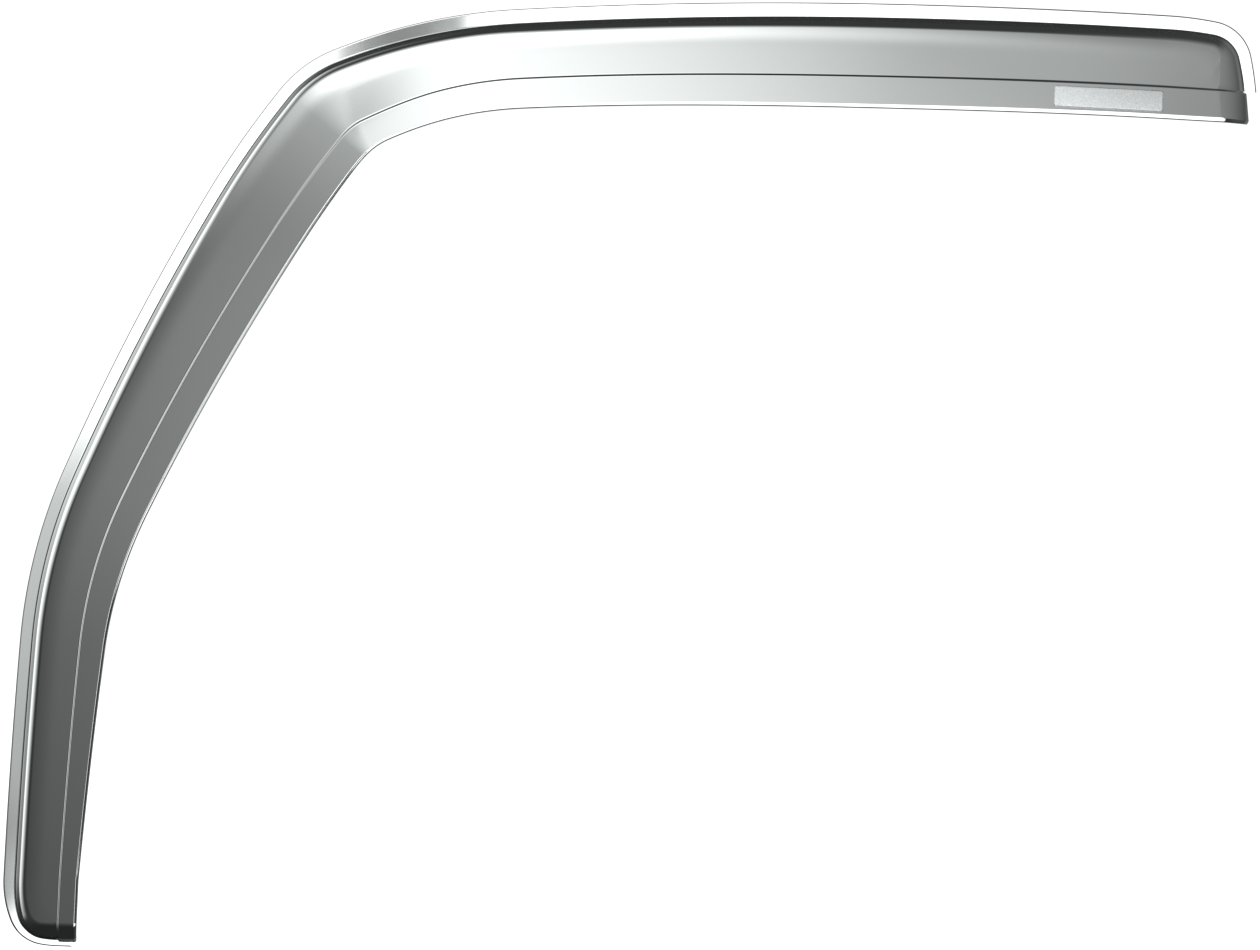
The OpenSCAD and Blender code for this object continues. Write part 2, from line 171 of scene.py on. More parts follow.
@dataclass
class Outline:
    """Outer edge of the flange in the door plane, a chain of arcs.

    A place is a distance along the edge from the foot's end, and a flat point is (x, z).

    Attributes:
        arcs: the stretches in order.
        first_heading: direction at the foot's end, anticlockwise from +X in degrees.
        rear_skew: how far the rear end is cut past square to the edge, in degrees.
        origin_inset: distance of the frame's origin inwards from the edge.
        origin_lead: bare flange between the corner's end and the start of the top tape.
    """

    arcs: tuple[Arc, ...] = (
        Arc(11.0 * MM, 8.0),
        Arc(27.5 * MM, 59.0),
        Arc(30.0 * MM, 24.0),
        Arc(159.5 * MM, 2.0),
        Arc(119.0 * MM, 19.0),
        Arc(207.5 * MM, 7.0),
        Arc(85.5 * MM, 8.0),
        Arc(44.0 * MM, 29.0),
        Arc(128.0 * MM, 19.0),
        Arc(230.5 * MM, 4.0),
        Arc(207.0 * MM, 2.5),
        Arc(32.0 * MM, 8.0),
        Arc(35.0 * MM, 67.0),
        Arc(24.5 * MM, 7.0),
    )
    first_heading: float = 178.0
    rear_skew: float = 9.0
    origin_inset: float = 4.1 * MM
    origin_lead: float = 8.0 * MM
    starts: list[tuple[float, np.ndarray, float]] = field(init=False)
    length: float = field(init=False)
    origin: np.ndarray = field(init=False)

    def __post_init__(self) -> None:
        """Works out where each stretch starts, and where the frame's origin lies."""
        place, point, heading = 0.0, np.zeros(2), self.first_heading
        self.starts = []
        for arc in self.arcs:
            self.starts.append((place, point, heading))
            point = point + arc.chord(arc.length) * ahead(heading - arc.turn / 2)
            place, heading = place + arc.length, heading - arc.turn
        self.length = place
        middle = (self.start(Stretch.CORNER_OUT) + self.origin_lead + self.start(Stretch.REAR_LEAD)) / 2
        point, heading = self.at(middle)
        self.origin = point + self.origin_inset * inward_of(heading)

    def start(self, stretch: Stretch) -> float:
        """Returns the place where a stretch starts."""
        return self.starts[stretch.value][0]

    def at(self, place: float) -> tuple[np.ndarray, float]:
        """Returns the point and the heading at a place, before the origin is taken off.

        Args:
            place: distance along the outline's edge.

        Returns:
            The flat point, and the heading in degrees anticlockwise from +X.
        """
        index = max(k for k, start in enumerate(self.starts) if start[0] <= place or k == 0)
        start, point, heading = self.starts[index]
        arc = self.arcs[index]
        turn = arc.turn * (place - start) / arc.length
        return point + arc.chord(place - start) * ahead(heading - turn / 2), heading - turn

    def inward(self, place: float) -> np.ndarray:
        """Returns the direction of the section, square to the edge apart from the rear end."""
        share = share_of(place, self.start(Stretch.REAR_BEND), self.length)
        return inward_of(self.at(place)[1] - self.rear_skew * ease(share))

    def plan(self, place: float, inset: float) -> np.ndarray:
        """Returns the flat point at a distance inwards from the edge."""
        return self.at(place)[0] + inset * self.inward(place) - self.origin


@dataclass(frozen=True)
class WidthCurve:
    """A width that runs smoothly through its values at named places.

    Attributes:
        knots: (place, width) pairs in order.
    """

    knots: tuple[tuple[float, float], ...]

    def _slope(self, k: int) -> float:
        """Returns the slope at a knot, from its neighbours."""
        before, after = self.knots[max(0, k - 1)], self.knots[min(len(self.knots) - 1, k + 1)]
        return (after[1] - before[1]) / (after[0] - before[0])

    def at(self, place: float) -> float:
        """Returns the width at a place.

        Args:
            place: distance along the outline's edge.

        Returns:
            The width, which has no kink at a knot.
        """
        k = max((k for k, knot in enumerate(self.knots[:-1]) if knot[0] <= place), default=0)
        (start, low), (end, high) = self.knots[k], self.knots[k + 1]
        u = share_of(place, start, end)
        bend = (1 - u) * self._slope(k) - u * self._slope(k + 1)
        return mix(low, high, ease(u)) + (end - start) * u * (1 - u) * bend


@dataclass(frozen=True)
class LipFrame:
    """Where a row of the lip starts: its foot and its two directions.

    Attributes:
        foot: point at the foot of the joggle.
        across: direction along the face towards the free edge.
        outward: direction out of the sheet.
        place: place on the outline that gives the lip's width.
    """

    foot: np.ndarray
    across: np.ndarray
    outward: np.ndarray
    place: float

    def point(self, across: float, proud: float) -> np.ndarray:
        """Returns the point at a distance across the lip and a height above its root."""
        return self.foot + across * self.across + proud * self.outward


@dataclass
class VisorForm:
    """Sizes of the moulded sheet, and the points that they give.

    A section point is (inset from the edge, height above the flange's back, slope in degrees).

    Attributes:
        outline: outer edge of the flange.
        sheet: thickness of the sheet.
        tape: thickness of the tape between the door and the flange.
        leg_flange: width of the flange along the leg.
        rail_flange: width of the flange along the roof line.
        rear_flange: width of the flange at the rear end.
        foot_flange: width of the flange at the foot.
        foot_lap: how far the flange runs past the foot.
        flange_edge: rounding of the flange's outer edge.
        edge_margin: flat flange that is kept plain beside the edge and the hollow.
        shoulder_height: height of the face at the shoulder.
        riser_lean: how far the riser leans inwards.
        rear_lean: how far it leans inwards at the rear end.
        hollow: radius between the flange and the riser.
        shoulder: radius between the riser and the face.
        foot_shoulder: that radius at the foot.
        rear_shoulder: that radius at the rear end.
        face_slope: slope of the face, in degrees.
        crown_slope: how much steeper the face starts beside the shoulder, in degrees.
        crown_width: width over which it gets back to its slope.
        joggle_height: how far the lip stands proud of the face.
        joggle_width: width of the step between the face and the lip.
        leg_bevel: width of the free edge's bevel on the leg.
        rear_bevel: width of the bevel at the rear end.
        bevel_slope: slope of the bevel, in degrees.
        bevel_round: radius of the bevel's lower edge.
        bevel_end_slope: slope where that rounding ends, in degrees.
        corner_lead: how far the rounding of the free edge's corner runs past the outline's tight bend.
        corner_pull: length of the rounding's two pulls, as a share of its chord.
        corner_probe: step over which the free edge's direction is taken.
        edge_steps: steps round the flange's outer edge.
        hollow_steps: steps round the hollow.
        shoulder_steps: steps round the shoulder.
        joggle_steps: steps across the joggle.
        bevel_steps: steps round the bevel's lower edge.
        corner_steps: steps along the rounding of the free edge's corner.
        station_run: longest run between two stations.
        station_turn: largest turn between two stations, in degrees.
        face_shares: where the face's points lie between the shoulder and the joggle.
        lip_shares: where the lip's points lie between the joggle and the bevel.
        bevel_shares: where the points of the bevel's flat part lie.
    """

    outline: Outline = field(default_factory=Outline)
    sheet: float = 3.0 * MM
    tape: float = 1.1 * MM
    leg_flange: float = 8.7 * MM
    rail_flange: float = 9.8 * MM
    rear_flange: float = 8.7 * MM
    foot_flange: float = 5.0 * MM
    foot_lap: float = 10.5 * MM
    flange_edge: float = 0.8 * MM
    edge_margin: float = 0.5 * MM
    shoulder_height: float = 9.8 * MM
    riser_lean: float = 4.4 * MM
    rear_lean: float = 5.6 * MM
    hollow: float = 1.5 * MM
    shoulder: float = 9.0 * MM
    foot_shoulder: float = 10.0 * MM
    rear_shoulder: float = 17.0 * MM
    face_slope: float = 12.0
    crown_slope: float = 4.0
    crown_width: float = 12.0 * MM
    joggle_height: float = 2.4 * MM
    joggle_width: float = 1.8 * MM
    leg_bevel: float = 1.3 * MM
    rear_bevel: float = 2.3 * MM
    bevel_slope: float = 32.0
    bevel_round: float = 1.0 * MM
    bevel_end_slope: float = 76.0
    corner_lead: float = 16.0 * MM
    corner_pull: float = 0.36
    corner_probe: float = 1.0 * MM
    edge_steps: int = 4
    hollow_steps: int = 6
    shoulder_steps: int = 32
    joggle_steps: int = 12
    bevel_steps: int = 4
    corner_steps: int = 200
    station_run: float = 5.0 * MM
    station_turn: float = 1.5
    face_shares: tuple[float, ...] = (0.02, 0.06, 0.12, 0.2, 0.3, 0.4, 0.5, 0.6, 0.7, 0.8, 0.88, 0.94, 0.98)
    lip_shares: tuple[float, ...] = (0.03, 0.1, 0.3, 0.5, 0.7, 0.9, 0.97)
    bevel_shares: tuple[float, ...] = (0.0, 0.1, 0.5)
    face: WidthCurve = field(init=False)
    lip: WidthCurve = field(init=False)
    corner_span: Step = field(init=False)
    corner_edge: np.ndarray = field(init=False)
    stations: list[float] = field(init=False)
    sections: list[list[SectionPoint]] = field(init=False)

    def __post_init__(self) -> None:
        """Works out the widths, the stations and the sections."""
        start = self.outline.start
        heel, leg, knee = start(Stretch.LEG), start(Stretch.KNEE), start(Stretch.PILLAR)
        rail, middle = start(Stretch.RAIL_FRONT), start(Stretch.RAIL_REAR)
        corner, corner_out = start(Stretch.CORNER), start(Stretch.CORNER_OUT)
        self.heel, self.rail_end = heel, start(Stretch.REAR_LEAD)
        self.face = WidthCurve((
            (heel, 37.8 * MM),
            (leg, 40.4 * MM),
            (knee, 43.6 * MM),
            (start(Stretch.PILLAR_TOP), 51.0 * MM),
            (corner, 52.2 * MM),
            (corner_out, 51.0 * MM),
            ((corner_out + rail) / 2, 47.2 * MM),
            (rail, 46.2 * MM),
            (middle, 48.4 * MM),
            (self.rail_end, 47.6 * MM),
        ))
        self.lip = WidthCurve((
            (heel, 13.4 * MM),
            (leg, 18.0 * MM),
            (knee, 21.0 * MM),
            (start(Stretch.PILLAR_TOP), 21.8 * MM),
            (corner, 21.0 * MM),
            (corner_out, 19.9 * MM),
            ((corner_out + rail) / 2, 20.6 * MM),
            (rail, 21.0 * MM),
            (middle, 22.2 * MM),
            (self.rail_end, 22.4 * MM),
        ))
        self.corner_span = (corner - self.corner_lead, corner_out + self.corner_lead)
        self.corner_edge = self._corner_edge(*self.corner_span)
        self.tan_slope = math.tan(math.radians(self.face_slope))
        self.stations = self._stations()
        self.sections = [self.section(place) for place in self.stations]
        self.riser = self.edge_steps + 3 + self.hollow_steps
        self.top = self.riser + 2 + self.shoulder_steps

    def _corner_edge(self, start: float, end: float) -> np.ndarray:
        """Returns flat points of the curve that rounds the free edge between two places.

        Args:
            start: place on the pillar where the rounding starts.
            end: place on the roof line where it ends.

        Returns:
            The flat points in order, one to a row.
        """
        before, first, last, after = (
            self.outline.plan(place, self.face.at(place) + self.lip.at(place))
            for place in (start - self.corner_probe, start, end, end + self.corner_probe)
        )
        pull = float(np.linalg.norm(last - first)) * self.corner_pull
        handles = [first, first + pull * unit(first - before), last - pull * unit(after - last), last]
        shares = [k / self.corner_steps for k in range(self.corner_steps + 1)]
        weights = [((1 - u) ** 3, 3 * u * (1 - u) ** 2, 3 * u**2 * (1 - u), u**3) for u in shares]
        return np.array(weights) @ np.array(handles)

    def lip_width(self, place: float) -> float:
        """Returns the lip's width at a place, with the free edge's corner rounded.

        Args:
            place: distance along the outline's edge.

        Returns:
            The width from the joggle's foot to the free edge.
        """
        if not self.corner_span[0] < place < self.corner_span[1]:
            return self.lip.at(place)
        inward = self.outline.inward(place)
        offsets = self.corner_edge - self.outline.plan(place, self.face.at(place))
        aside = offsets @ np.array([-inward[1], inward[0]])
        return float(np.interp(0.0, aside, offsets @ inward))

    def _stations(self) -> list[float]:
        """Returns the places of the loft's sections, closer together in the bends.

        Returns:
            The places, from the foot's end to the rear end.
        """
        places = []
        for arc, (start, _, _) in zip(self.outline.arcs, self.outline.starts):
            steps = math.ceil(max(arc.length / self.station_run, arc.turn / self.station_turn))
            places += [start + arc.length * k / steps for k in range(steps)]
        return places + [self.outline.length]

    def foot_share(self, place: float) -> float:
        """Returns the share of the way from the leg to the foot's end."""
        return share_of(-place, -self.heel, 0.0)

    def rear_share(self, place: float) -> float:
        """Returns the share of the way from the roof line to the rear end."""
        return share_of(place, self.rail_end, self.outline.length)

    def level(self, place: float) -> float:
        """Returns the nearest place on the leg or the roof line."""
        return min(self.rail_end, max(self.heel, place))

    def flange(self, place: float) -> float:
        """Returns the flange's width at a place.

        Args:
            place: distance along the outline's edge.

        Returns:
            The width from the edge to the riser.
        """
        start = self.outline.start
        if place < self.heel:
            bend = share_of(-place, -self.heel, -start(Stretch.FOOT_BEND))
            return mix(self.leg_flange, self.foot_flange, ease(bend))
        if place < self.rail_end:
            share = share_of(place, start(Stretch.CORNER), start(Stretch.RAIL_FRONT))
            return mix(self.leg_flange, self.rail_flange, ease(share))
        return mix(self.rail_flange, self.rear_flange, ease(self.rear_share(place)))

    def lean(self, place: float) -> float:
        """Returns how far the riser leans inwards at a place."""
        return mix(self.riser_lean, self.rear_lean, ease(self.rear_share(place)))

    def shoulder_radius(self, place: float) -> float:
        """Returns the shoulder's radius at a place.

        Args:
            place: distance along the outline's edge.

        Returns:
            The radius, which grows towards both ends.
        """
        foot = (self.foot_shoulder - self.shoulder) * ease(self.foot_share(place))
        rear = (self.rear_shoulder - self.shoulder) * self.rear_share(place) ** 2
        return self.shoulder + foot + rear

    def bevel(self, place: float) -> float:
        """Returns the width of the free edge's bevel at a place."""
        start = self.outline.start(Stretch.RAIL_FRONT)
        return mix(self.leg_bevel, self.rear_bevel, share_of(place, start, self.rail_end))

    def space(self, flat: np.ndarray, height: float) -> np.ndarray:
        """Returns the point in space of a flat point at a height above the flange's back."""
        return np.array([flat[0], -self.tape - height, flat[1]])

    def direction(self, flat: np.ndarray, height: float) -> np.ndarray:
        """Returns the direction in space of a flat direction and a rise."""
        return np.array([flat[0], -height, flat[1]])

    def face_height(self, place: float, flat: np.ndarray) -> float:
        """Returns the height of the sloped face over a flat point.

        Args:
            place: place of the section.
            flat: the flat point.

        Returns:
            The height above the flange's back.
        """
        base = self.level(place)
        crest = self.outline.plan(base, self.flange(base) + self.lean(base))
        return self.shoulder_height + self.tan_slope * float((flat - crest) @ self.outline.inward(base))

    def crown(self, place: float) -> float:
        """Returns how much steeper the crowned face starts beside the shoulder, as a rise per run."""
        share = max(self.foot_share(place), self.rear_share(place))
        return math.tan(math.radians(self.face_slope + self.crown_slope * (1 - share))) - self.tan_slope

    def section(self, place: float) -> list[SectionPoint]:
        """Returns the outer skin's points from the flange's edge to the top of the shoulder.

        Args:
            place: distance along the outline's edge.

        Returns:
            The section points in order.
        """
        flange, edge, crown = self.flange(place), self.flange_edge, self.crown(place)
        crest, radius = flange + self.lean(place), self.shoulder_radius(place)
        crest_height = self.face_height(place, self.outline.plan(place, crest))
        # the crown leaves the plain face tangentially, so its steeper start lies a little lower
        crest_height -= crown * (self.crown_width + self.shoulder) / 2
        rise = math.degrees(math.atan2(crest_height - self.sheet, crest - flange))
        towards = self.outline.inward(place) @ self.outline.inward(self.level(place))
        top = math.degrees(math.atan(self.tan_slope * towards + crown))
        half_turn = math.radians((rise - top) / 2)
        hollow_start = flange - self.hollow * math.tan(math.radians(rise / 2))
        points = []
        for k in range(self.edge_steps + 1):
            turn = 180 - 90 * k / self.edge_steps
            corner = np.array([edge, self.sheet - edge]) + edge * ahead(turn)
            points.append((corner[0], corner[1], 0.0))
        points.append((edge + self.edge_margin, self.sheet, 0.0))
        points.append((hollow_start - self.edge_margin, self.sheet, 0.0))
        centre = np.array([hollow_start, self.sheet + self.hollow])
        for k in range(self.hollow_steps + 1):
            turn = rise * k / self.hollow_steps
            point = centre + self.hollow * inward_of(turn)
            points.append((point[0], point[1], turn))
        arc_start = np.array([crest, crest_height]) - radius * math.tan(half_turn) * ahead(rise)
        low = mix(np.array(points[-1][:2]), arc_start, 0.5)
        points.append((low[0], low[1], rise))
        centre = arc_start + radius * inward_of(rise)
        for k in range(self.shoulder_steps + 1):
            turn = mix(rise, top, k / self.shoulder_steps)
            point = centre - radius * inward_of(turn)
            points.append((point[0], point[1], turn))
        return points

    def end_direction(self, index: int) -> np.ndarray:
        """Returns the direction along the outline out of one of its ends.

        Args:
            index: 0 for the foot, any other number for the rear.

        Returns:
            The flat unit vector.
        """
        if index == 0:
            return -ahead(self.outline.at(0.0)[1])
        return ahead(self.outline.at(self.outline.length)[1])

    def _strip_point(self, index: int, inset: float, height: float) -> np.ndarray:
        """Returns a section point in space, with the flange's lap at the foot.

        Args:
            index: number of the station.
            inset: distance inwards from the edge.
            height: height above the flange's back.

        Returns:
            The point.
        """
        place = self.stations[index]
        flat = self.outline.plan(place, inset)
        flange = self.flange(place)
        if index == 0 and inset < flange:
            flat = flat + self.foot_lap * (1 - inset / flange) * self.end_direction(index)
        return self.space(flat, height)

    def skin_point(self, index: int, column: int) -> np.ndarray:
        """Returns a point of the outer skin."""
        inset, height, _ = self.sections[index][column]
        return self._strip_point(index, inset, height)

    def back_point(self, index: int, column: int) -> np.ndarray:
        """Returns the point of the back that faces a point of the outer skin.

        Args:
            index: number of the station.
            column: number of the section point.

        Returns:
            The point, one thickness of the sheet behind the skin.
        """
        if column <= self.edge_steps:
            return self._strip_point(index, self.flange_edge * column / self.edge_steps, 0.0)
        inset, height, slope = self.sections[index][column]
        turn = math.radians(slope)
        return self._strip_point(
            index, inset + self.sheet * math.sin(turn), height - self.sheet * math.cos(turn)
        )

    def joggle_foot(self, index: int) -> np.ndarray:
        """Returns the flat point at the foot of the joggle.

        Args:
            index: number of the station.

        Returns:
            The flat point.
        """
        place = self.stations[index]
        base = self.level(place)
        start = self.outline.plan(base, self.face.at(base))
        if place == base:
            return start
        end = 0 if place < base else len(self.stations) - 1
        inset = self.sections[end][self.top][0]
        share = self.foot_share(place) if place < base else self.rear_share(place)
        return mix(start, self.outline.plan(self.stations[end], inset), share)

    def _side_frame(self, index: int) -> LipFrame:
        """Returns the frame of a lip row between the two ends.

        Args:
            index: number of the station.

        Returns:
            The frame.
        """
        place = self.stations[index]
        base = self.level(place)
        flat = self.joggle_foot(index)
        share = max(self.foot_share(place), self.rear_share(place))
        out = unit(mix(self.outline.inward(base), self.end_direction(0 if place < base else -1), share))
        return LipFrame(
            self.space(flat, self.face_height(place, flat)),
            self.direction(out, self.tan_slope),
            unit(self.direction(-self.tan_slope * out, 1.0)),
            base,
        )

    def _end_frame(self, index: int, column: int) -> LipFrame:
        """Returns the frame of a lip row that follows an end's own section down.

        Args:
            index: number of the station.
            column: number of the section point.

        Returns:
            The frame.
        """
        turn = math.radians(self.sections[index][column][2])
        out = self.end_direction(index)
        place = self.stations[index]
        lean = -math.sin(turn) * self.outline.inward(place)
        raised = lean - self.tan_slope * math.cos(turn) ** 2 * out
        return LipFrame(
            self.skin_point(index, column),
            self.direction(out, self.tan_slope * math.cos(turn)),
            unit(self.direction(raised, math.cos(turn))),
            self.level(place),
        )

    def frames(self) -> list[LipFrame]:
        """Returns the lip's frames: down the foot's section, along the joggle, down the rear's.

        Returns:
            One frame for each row of the lip.
        """
        last = len(self.stations) - 1
        ends = range(self.riser, self.top + 1)
        foot = [self._end_frame(0, column) for column in ends]
        side = [self._side_frame(index) for index in range(1, last)]
        rear = [self._end_frame(last, column) for column in reversed(ends)]
        return foot + side + rear

    def lip_skin(self, frame: LipFrame) -> list[np.ndarray]:
        """Returns the lip's outer points from the joggle's foot to the free edge.

        Args:
            frame: where the row starts.

        Returns:
            The row's points.
        """
        width, bevel = self.lip_width(frame.place), self.bevel(frame.place)
        steps = [k / self.joggle_steps for k in range(self.joggle_steps + 1)]
        row = [frame.point(self.joggle_width * u, self.joggle_height * ease(u)) for u in steps]
        flat = width - bevel - self.joggle_width
        row += [frame.point(self.joggle_width + flat * u, self.joggle_height) for u in self.lip_shares]
        shares = [k / self.bevel_steps for k in range(self.bevel_steps + 1)]
        slopes = [math.radians(mix(self.bevel_slope, self.bevel_end_slope, u)) for u in shares]
        rounding = self.bevel_round * (math.sin(slopes[-1]) - math.sin(slopes[0]))
        drop = math.tan(slopes[0])
        flat = bevel - rounding
        for u in self.bevel_shares:
            row.append(frame.point(width - bevel + flat * u, self.joggle_height - flat * u * drop))
        for slope in slopes:
            across = width - self.bevel_round * (math.sin(slopes[-1]) - math.sin(slope))
            sunk = flat * drop + self.bevel_round * (math.cos(slopes[0]) - math.cos(slope))
            row.append(frame.point(across, self.joggle_height - sunk))
        return row

    def lip_back(self, frame: LipFrame) -> list[np.ndarray]:
        """Returns the lip's back points, one for each outer point.

        Args:
            frame: where the row starts.

        Returns:
            The row's points.
        """
        width, bevel = self.lip_width(frame.place), self.bevel(frame.place)
        set_out = self.sheet * math.tan(math.atan2(self.joggle_height, self.joggle_width) / 2)
        steps = [k / self.joggle_steps for k in range(self.joggle_steps + 1)]
        row = [
            frame.point(set_out + self.joggle_width * u, self.joggle_height * ease(u) - self.sheet)
            for u in steps
        ]
        start = set_out + self.joggle_width
        flat = width - bevel / 2 - start
        row += [frame.point(start + flat * u, self.joggle_height - self.sheet) for u in self.lip_shares]
        last = len(self.bevel_shares) + self.bevel_steps
        for k in range(last + 1):
            row.append(frame.point(width - bevel / 2 * (1 - k / last), self.joggle_height - self.sheet))
        return row

    def face_row(self, index: int, start: np.ndarray, foot: np.ndarray) -> list[np.ndarray]:
        """Returns the points of the crowned face between the shoulder and the joggle's foot.

        Args:
            index: number of the station.
            start: last point of the shoulder.
            foot: point at the foot of the joggle.

        Returns:
            The points between the two.
        """
        drop = self.crown(self.stations[index]) * self.crown_width / 2 * self.direction(np.zeros(2), 1.0)
        run = float(np.linalg.norm(foot - start))
        flat = [mix(start + drop, foot, u) for u in self.face_shares]
        left = [1 - min(1.0, u * run / self.crown_width) for u in self.face_shares]
        return [point - share**2 * drop for point, share in zip(flat, left)]

    def skin_rows(self) -> tuple[Rows, Rows]:
        """Returns the rows of the outer skin: across the strip, and across the lip."""
        frames = self.frames()
        return self._rows(self.skin_point, [self.lip_skin(frame) for frame in frames])

    def back_rows(self) -> tuple[Rows, Rows]:
        """Returns the rows of the back: across the strip, and across the lip."""
        frames = self.frames()
        return self._rows(self.back_point, [self.lip_back(frame) for frame in frames])

    def _rows(self, point: Callable[[int, int], np.ndarray], lip: Rows) -> tuple[Rows, Rows]:
        """Joins the strip's rows to the lip's rows.

        Args:
            point: gives the strip's point at a station and a column.
            lip: the lip's rows, from foot to rear.

        Returns:
            The strip's rows and the lip's rows, which share the points along the joggle's foot.
        """
        last, ends = len(self.stations) - 1, self.top - self.riser
        strip = []
        for index in range(last + 1):
            row = [point(index, column) for column in range(self.top + 1)]
            if index in (0, last):
                # the lip's roots take the place of the end section's points
                roots = lip[: ends + 1] if index == 0 else lip[: -ends - 2 : -1]
                row[self.riser:] = [root[0] for root in roots]
                foot = row[-1]
            else:
                foot = lip[ends + index][0]
            strip.append(row + self.face_row(index, row[-1], foot) + [foot])
        return strip, lip


class Socket:
    """A node's output that takes part in Python expressions, each of which adds its Math node."""

    def __init__(self, graph: "Graph", output: bpy.types.NodeSocket) -> None:
        """Wraps an output of a node.

        Args:
            graph: the graph that the node belongs to.
            output: the output.
        """
        self.graph = graph
        self.output = output

    def _math(self, operation: str, *values: "Socket | float") -> "Socket":
        """Returns the result of a Math node on the given values."""
        inputs = dict(enumerate(values))
        return self.graph.node("ShaderNodeMath", {"operation": operation}, inputs)

    def __add__(self, other: "Socket | float") -> "Socket":
        """Returns self + other."""
        return self._math("ADD", self, other)

    def __radd__(self, other: float) -> "Socket":
        """Returns other + self."""
        return self._math("ADD", other, self)

    def __sub__(self, other: "Socket | float") -> "Socket":
        """Returns self - other."""
        return self._math("SUBTRACT", self, other)

    def __rsub__(self, other: float) -> "Socket":
        """Returns other - self."""
        return self._math("SUBTRACT", other, self)

    def __mul__(self, other: "Socket | float") -> "Socket":
        """Returns self * other."""
        return self._math("MULTIPLY", self, other)

    def __rmul__(self, other: float) -> "Socket":
        """Returns other * self."""
        return self._math("MULTIPLY", other, self)

    def __truediv__(self, other: "Socket | float") -> "Socket":
        """Returns self / other."""
        return self._math("DIVIDE", self, other)

    def __abs__(self) -> "Socket":
        """Returns the size of self."""
        return self._math("ABSOLUTE", self)

    def at_least(self, other: "Socket | float") -> "Socket":
        """Returns self, or other where self is lower."""
        return self._math("MAXIMUM", self, other)

    def rise(self, start: "Socket | float", end: "Socket | float") -> "Socket":
        """Returns a soft step from 0 at start to 1 at end."""
        inputs = {"Value": self, "From Min": start, "From Max": end}
        return self.graph.node("ShaderNodeMapRange", {"interpolation_type": "SMOOTHSTEP"}, inputs)

    def fall(self, start: "Socket | float", end: "Socket | float") -> "Socket":
        """Returns a soft step from 1 at start to 0 at end."""
        return 1 - self.rise(start, end)


class Graph:
    """A node tree that is built by calls."""

    def __init__(self, tree: bpy.types.NodeTree) -> None:
        """Empties the tree.

        Args:
            tree: the node tree to fill.
        """
        self.tree = tree
        self.tree.nodes.clear()

    def add(self, kind: str, settings: dict[str, object], inputs: dict[str | int, object]) -> bpy.types.Node:
        """Adds a node, with its settings before its sockets.

        Args:
            kind: the node's type.
            settings: attributes of the node; the key "stops" fills a ramp with (place, colour) pairs.
            inputs: values or Sockets by the input's name or number.

        Returns:
            The new node.
        """
        node = self.tree.nodes.new(kind)
        for name, value in settings.items():
            if name == "stops":
                self._fill_ramp(node.color_ramp, value)
            else:
                setattr(node, name, value)
        for name, value in inputs.items():
            if isinstance(value, Socket):
                self.tree.links.new(value.output, node.inputs[name])
            else:
                node.inputs[name].default_value = value
        return node

    def node(
        self, kind: str, settings: dict[str, object], inputs: dict[str | int, object], output: str | int = 0
    ) -> Socket:
        """Adds a node and returns one of its outputs."""
        return Socket(self, self.add(kind, settings, inputs).outputs[output])

    @staticmethod
    def _fill_ramp(ramp: bpy.types.ColorRamp, stops: Sequence[tuple[float, Colour]]) -> None:
        """Gives a colour ramp its stops.

        Args:
            ramp: the ramp to fill.
            stops: places and colours in order.
        """
        while len(ramp.elements) < len(stops):
            ramp.elements.new(1.0)
        for element, (place, colour) in zip(ramp.elements, stops):
            element.position = place
            element.color = colour

    def place(self) -> tuple[Socket, Socket, Socket]:
        """Returns the x, y and z of the Object coordinates.

        Returns:
            The three coordinates.
        """
        where = self.node("ShaderNodeTexCoord", {}, {}, "Object")
        split = self.add("ShaderNodeSeparateXYZ", {}, {0: where})
        return tuple(Socket(self, split.outputs[k]) for k in range(3))

    def noise(self, scale: float, detail: float) -> Socket:
        """Returns a noise over the Object coordinates."""
        where = self.node("ShaderNodeTexCoord", {}, {}, "Object")
        return self.node("ShaderNodeTexNoise", {}, {"Vector": where, "Scale": scale, "Detail": detail})

    def ramp(self, share: Socket, *stops: tuple[float, Colour]) -> Socket:
        """Returns the colour that a ramp gives for a share."""
        return self.node("ShaderNodeValToRGB", {"stops": stops}, {"Fac": share})

    def relief(self, height: Socket, depth: float, strength: float = 1.0) -> Socket:
        """Returns the normal of a surface with a relief of a given depth."""
        return self.node("ShaderNodeBump", {}, {"Strength": strength, "Distance": depth, "Height": height})

    def surface(self, inputs: dict[str | int, object]) -> None:
        """Gives the material a Principled surface with these inputs.

        Args:
            inputs: values or Sockets by the input's name.
        """
        shader = self.node("ShaderNodeBsdfPrincipled", {}, inputs)
        self.add("ShaderNodeOutputMaterial", {}, {"Surface": shader})


def new_material(name: str) -> tuple[bpy.types.Material, Graph]:
    """Returns an empty node material and its graph.

    Args:
        name: the material's name.

    Returns:
        The material, and the graph that fills it.
    """
    material = bpy.data.materials.new(name)
    material.use_nodes = True
    return material, Graph(material.node_tree)


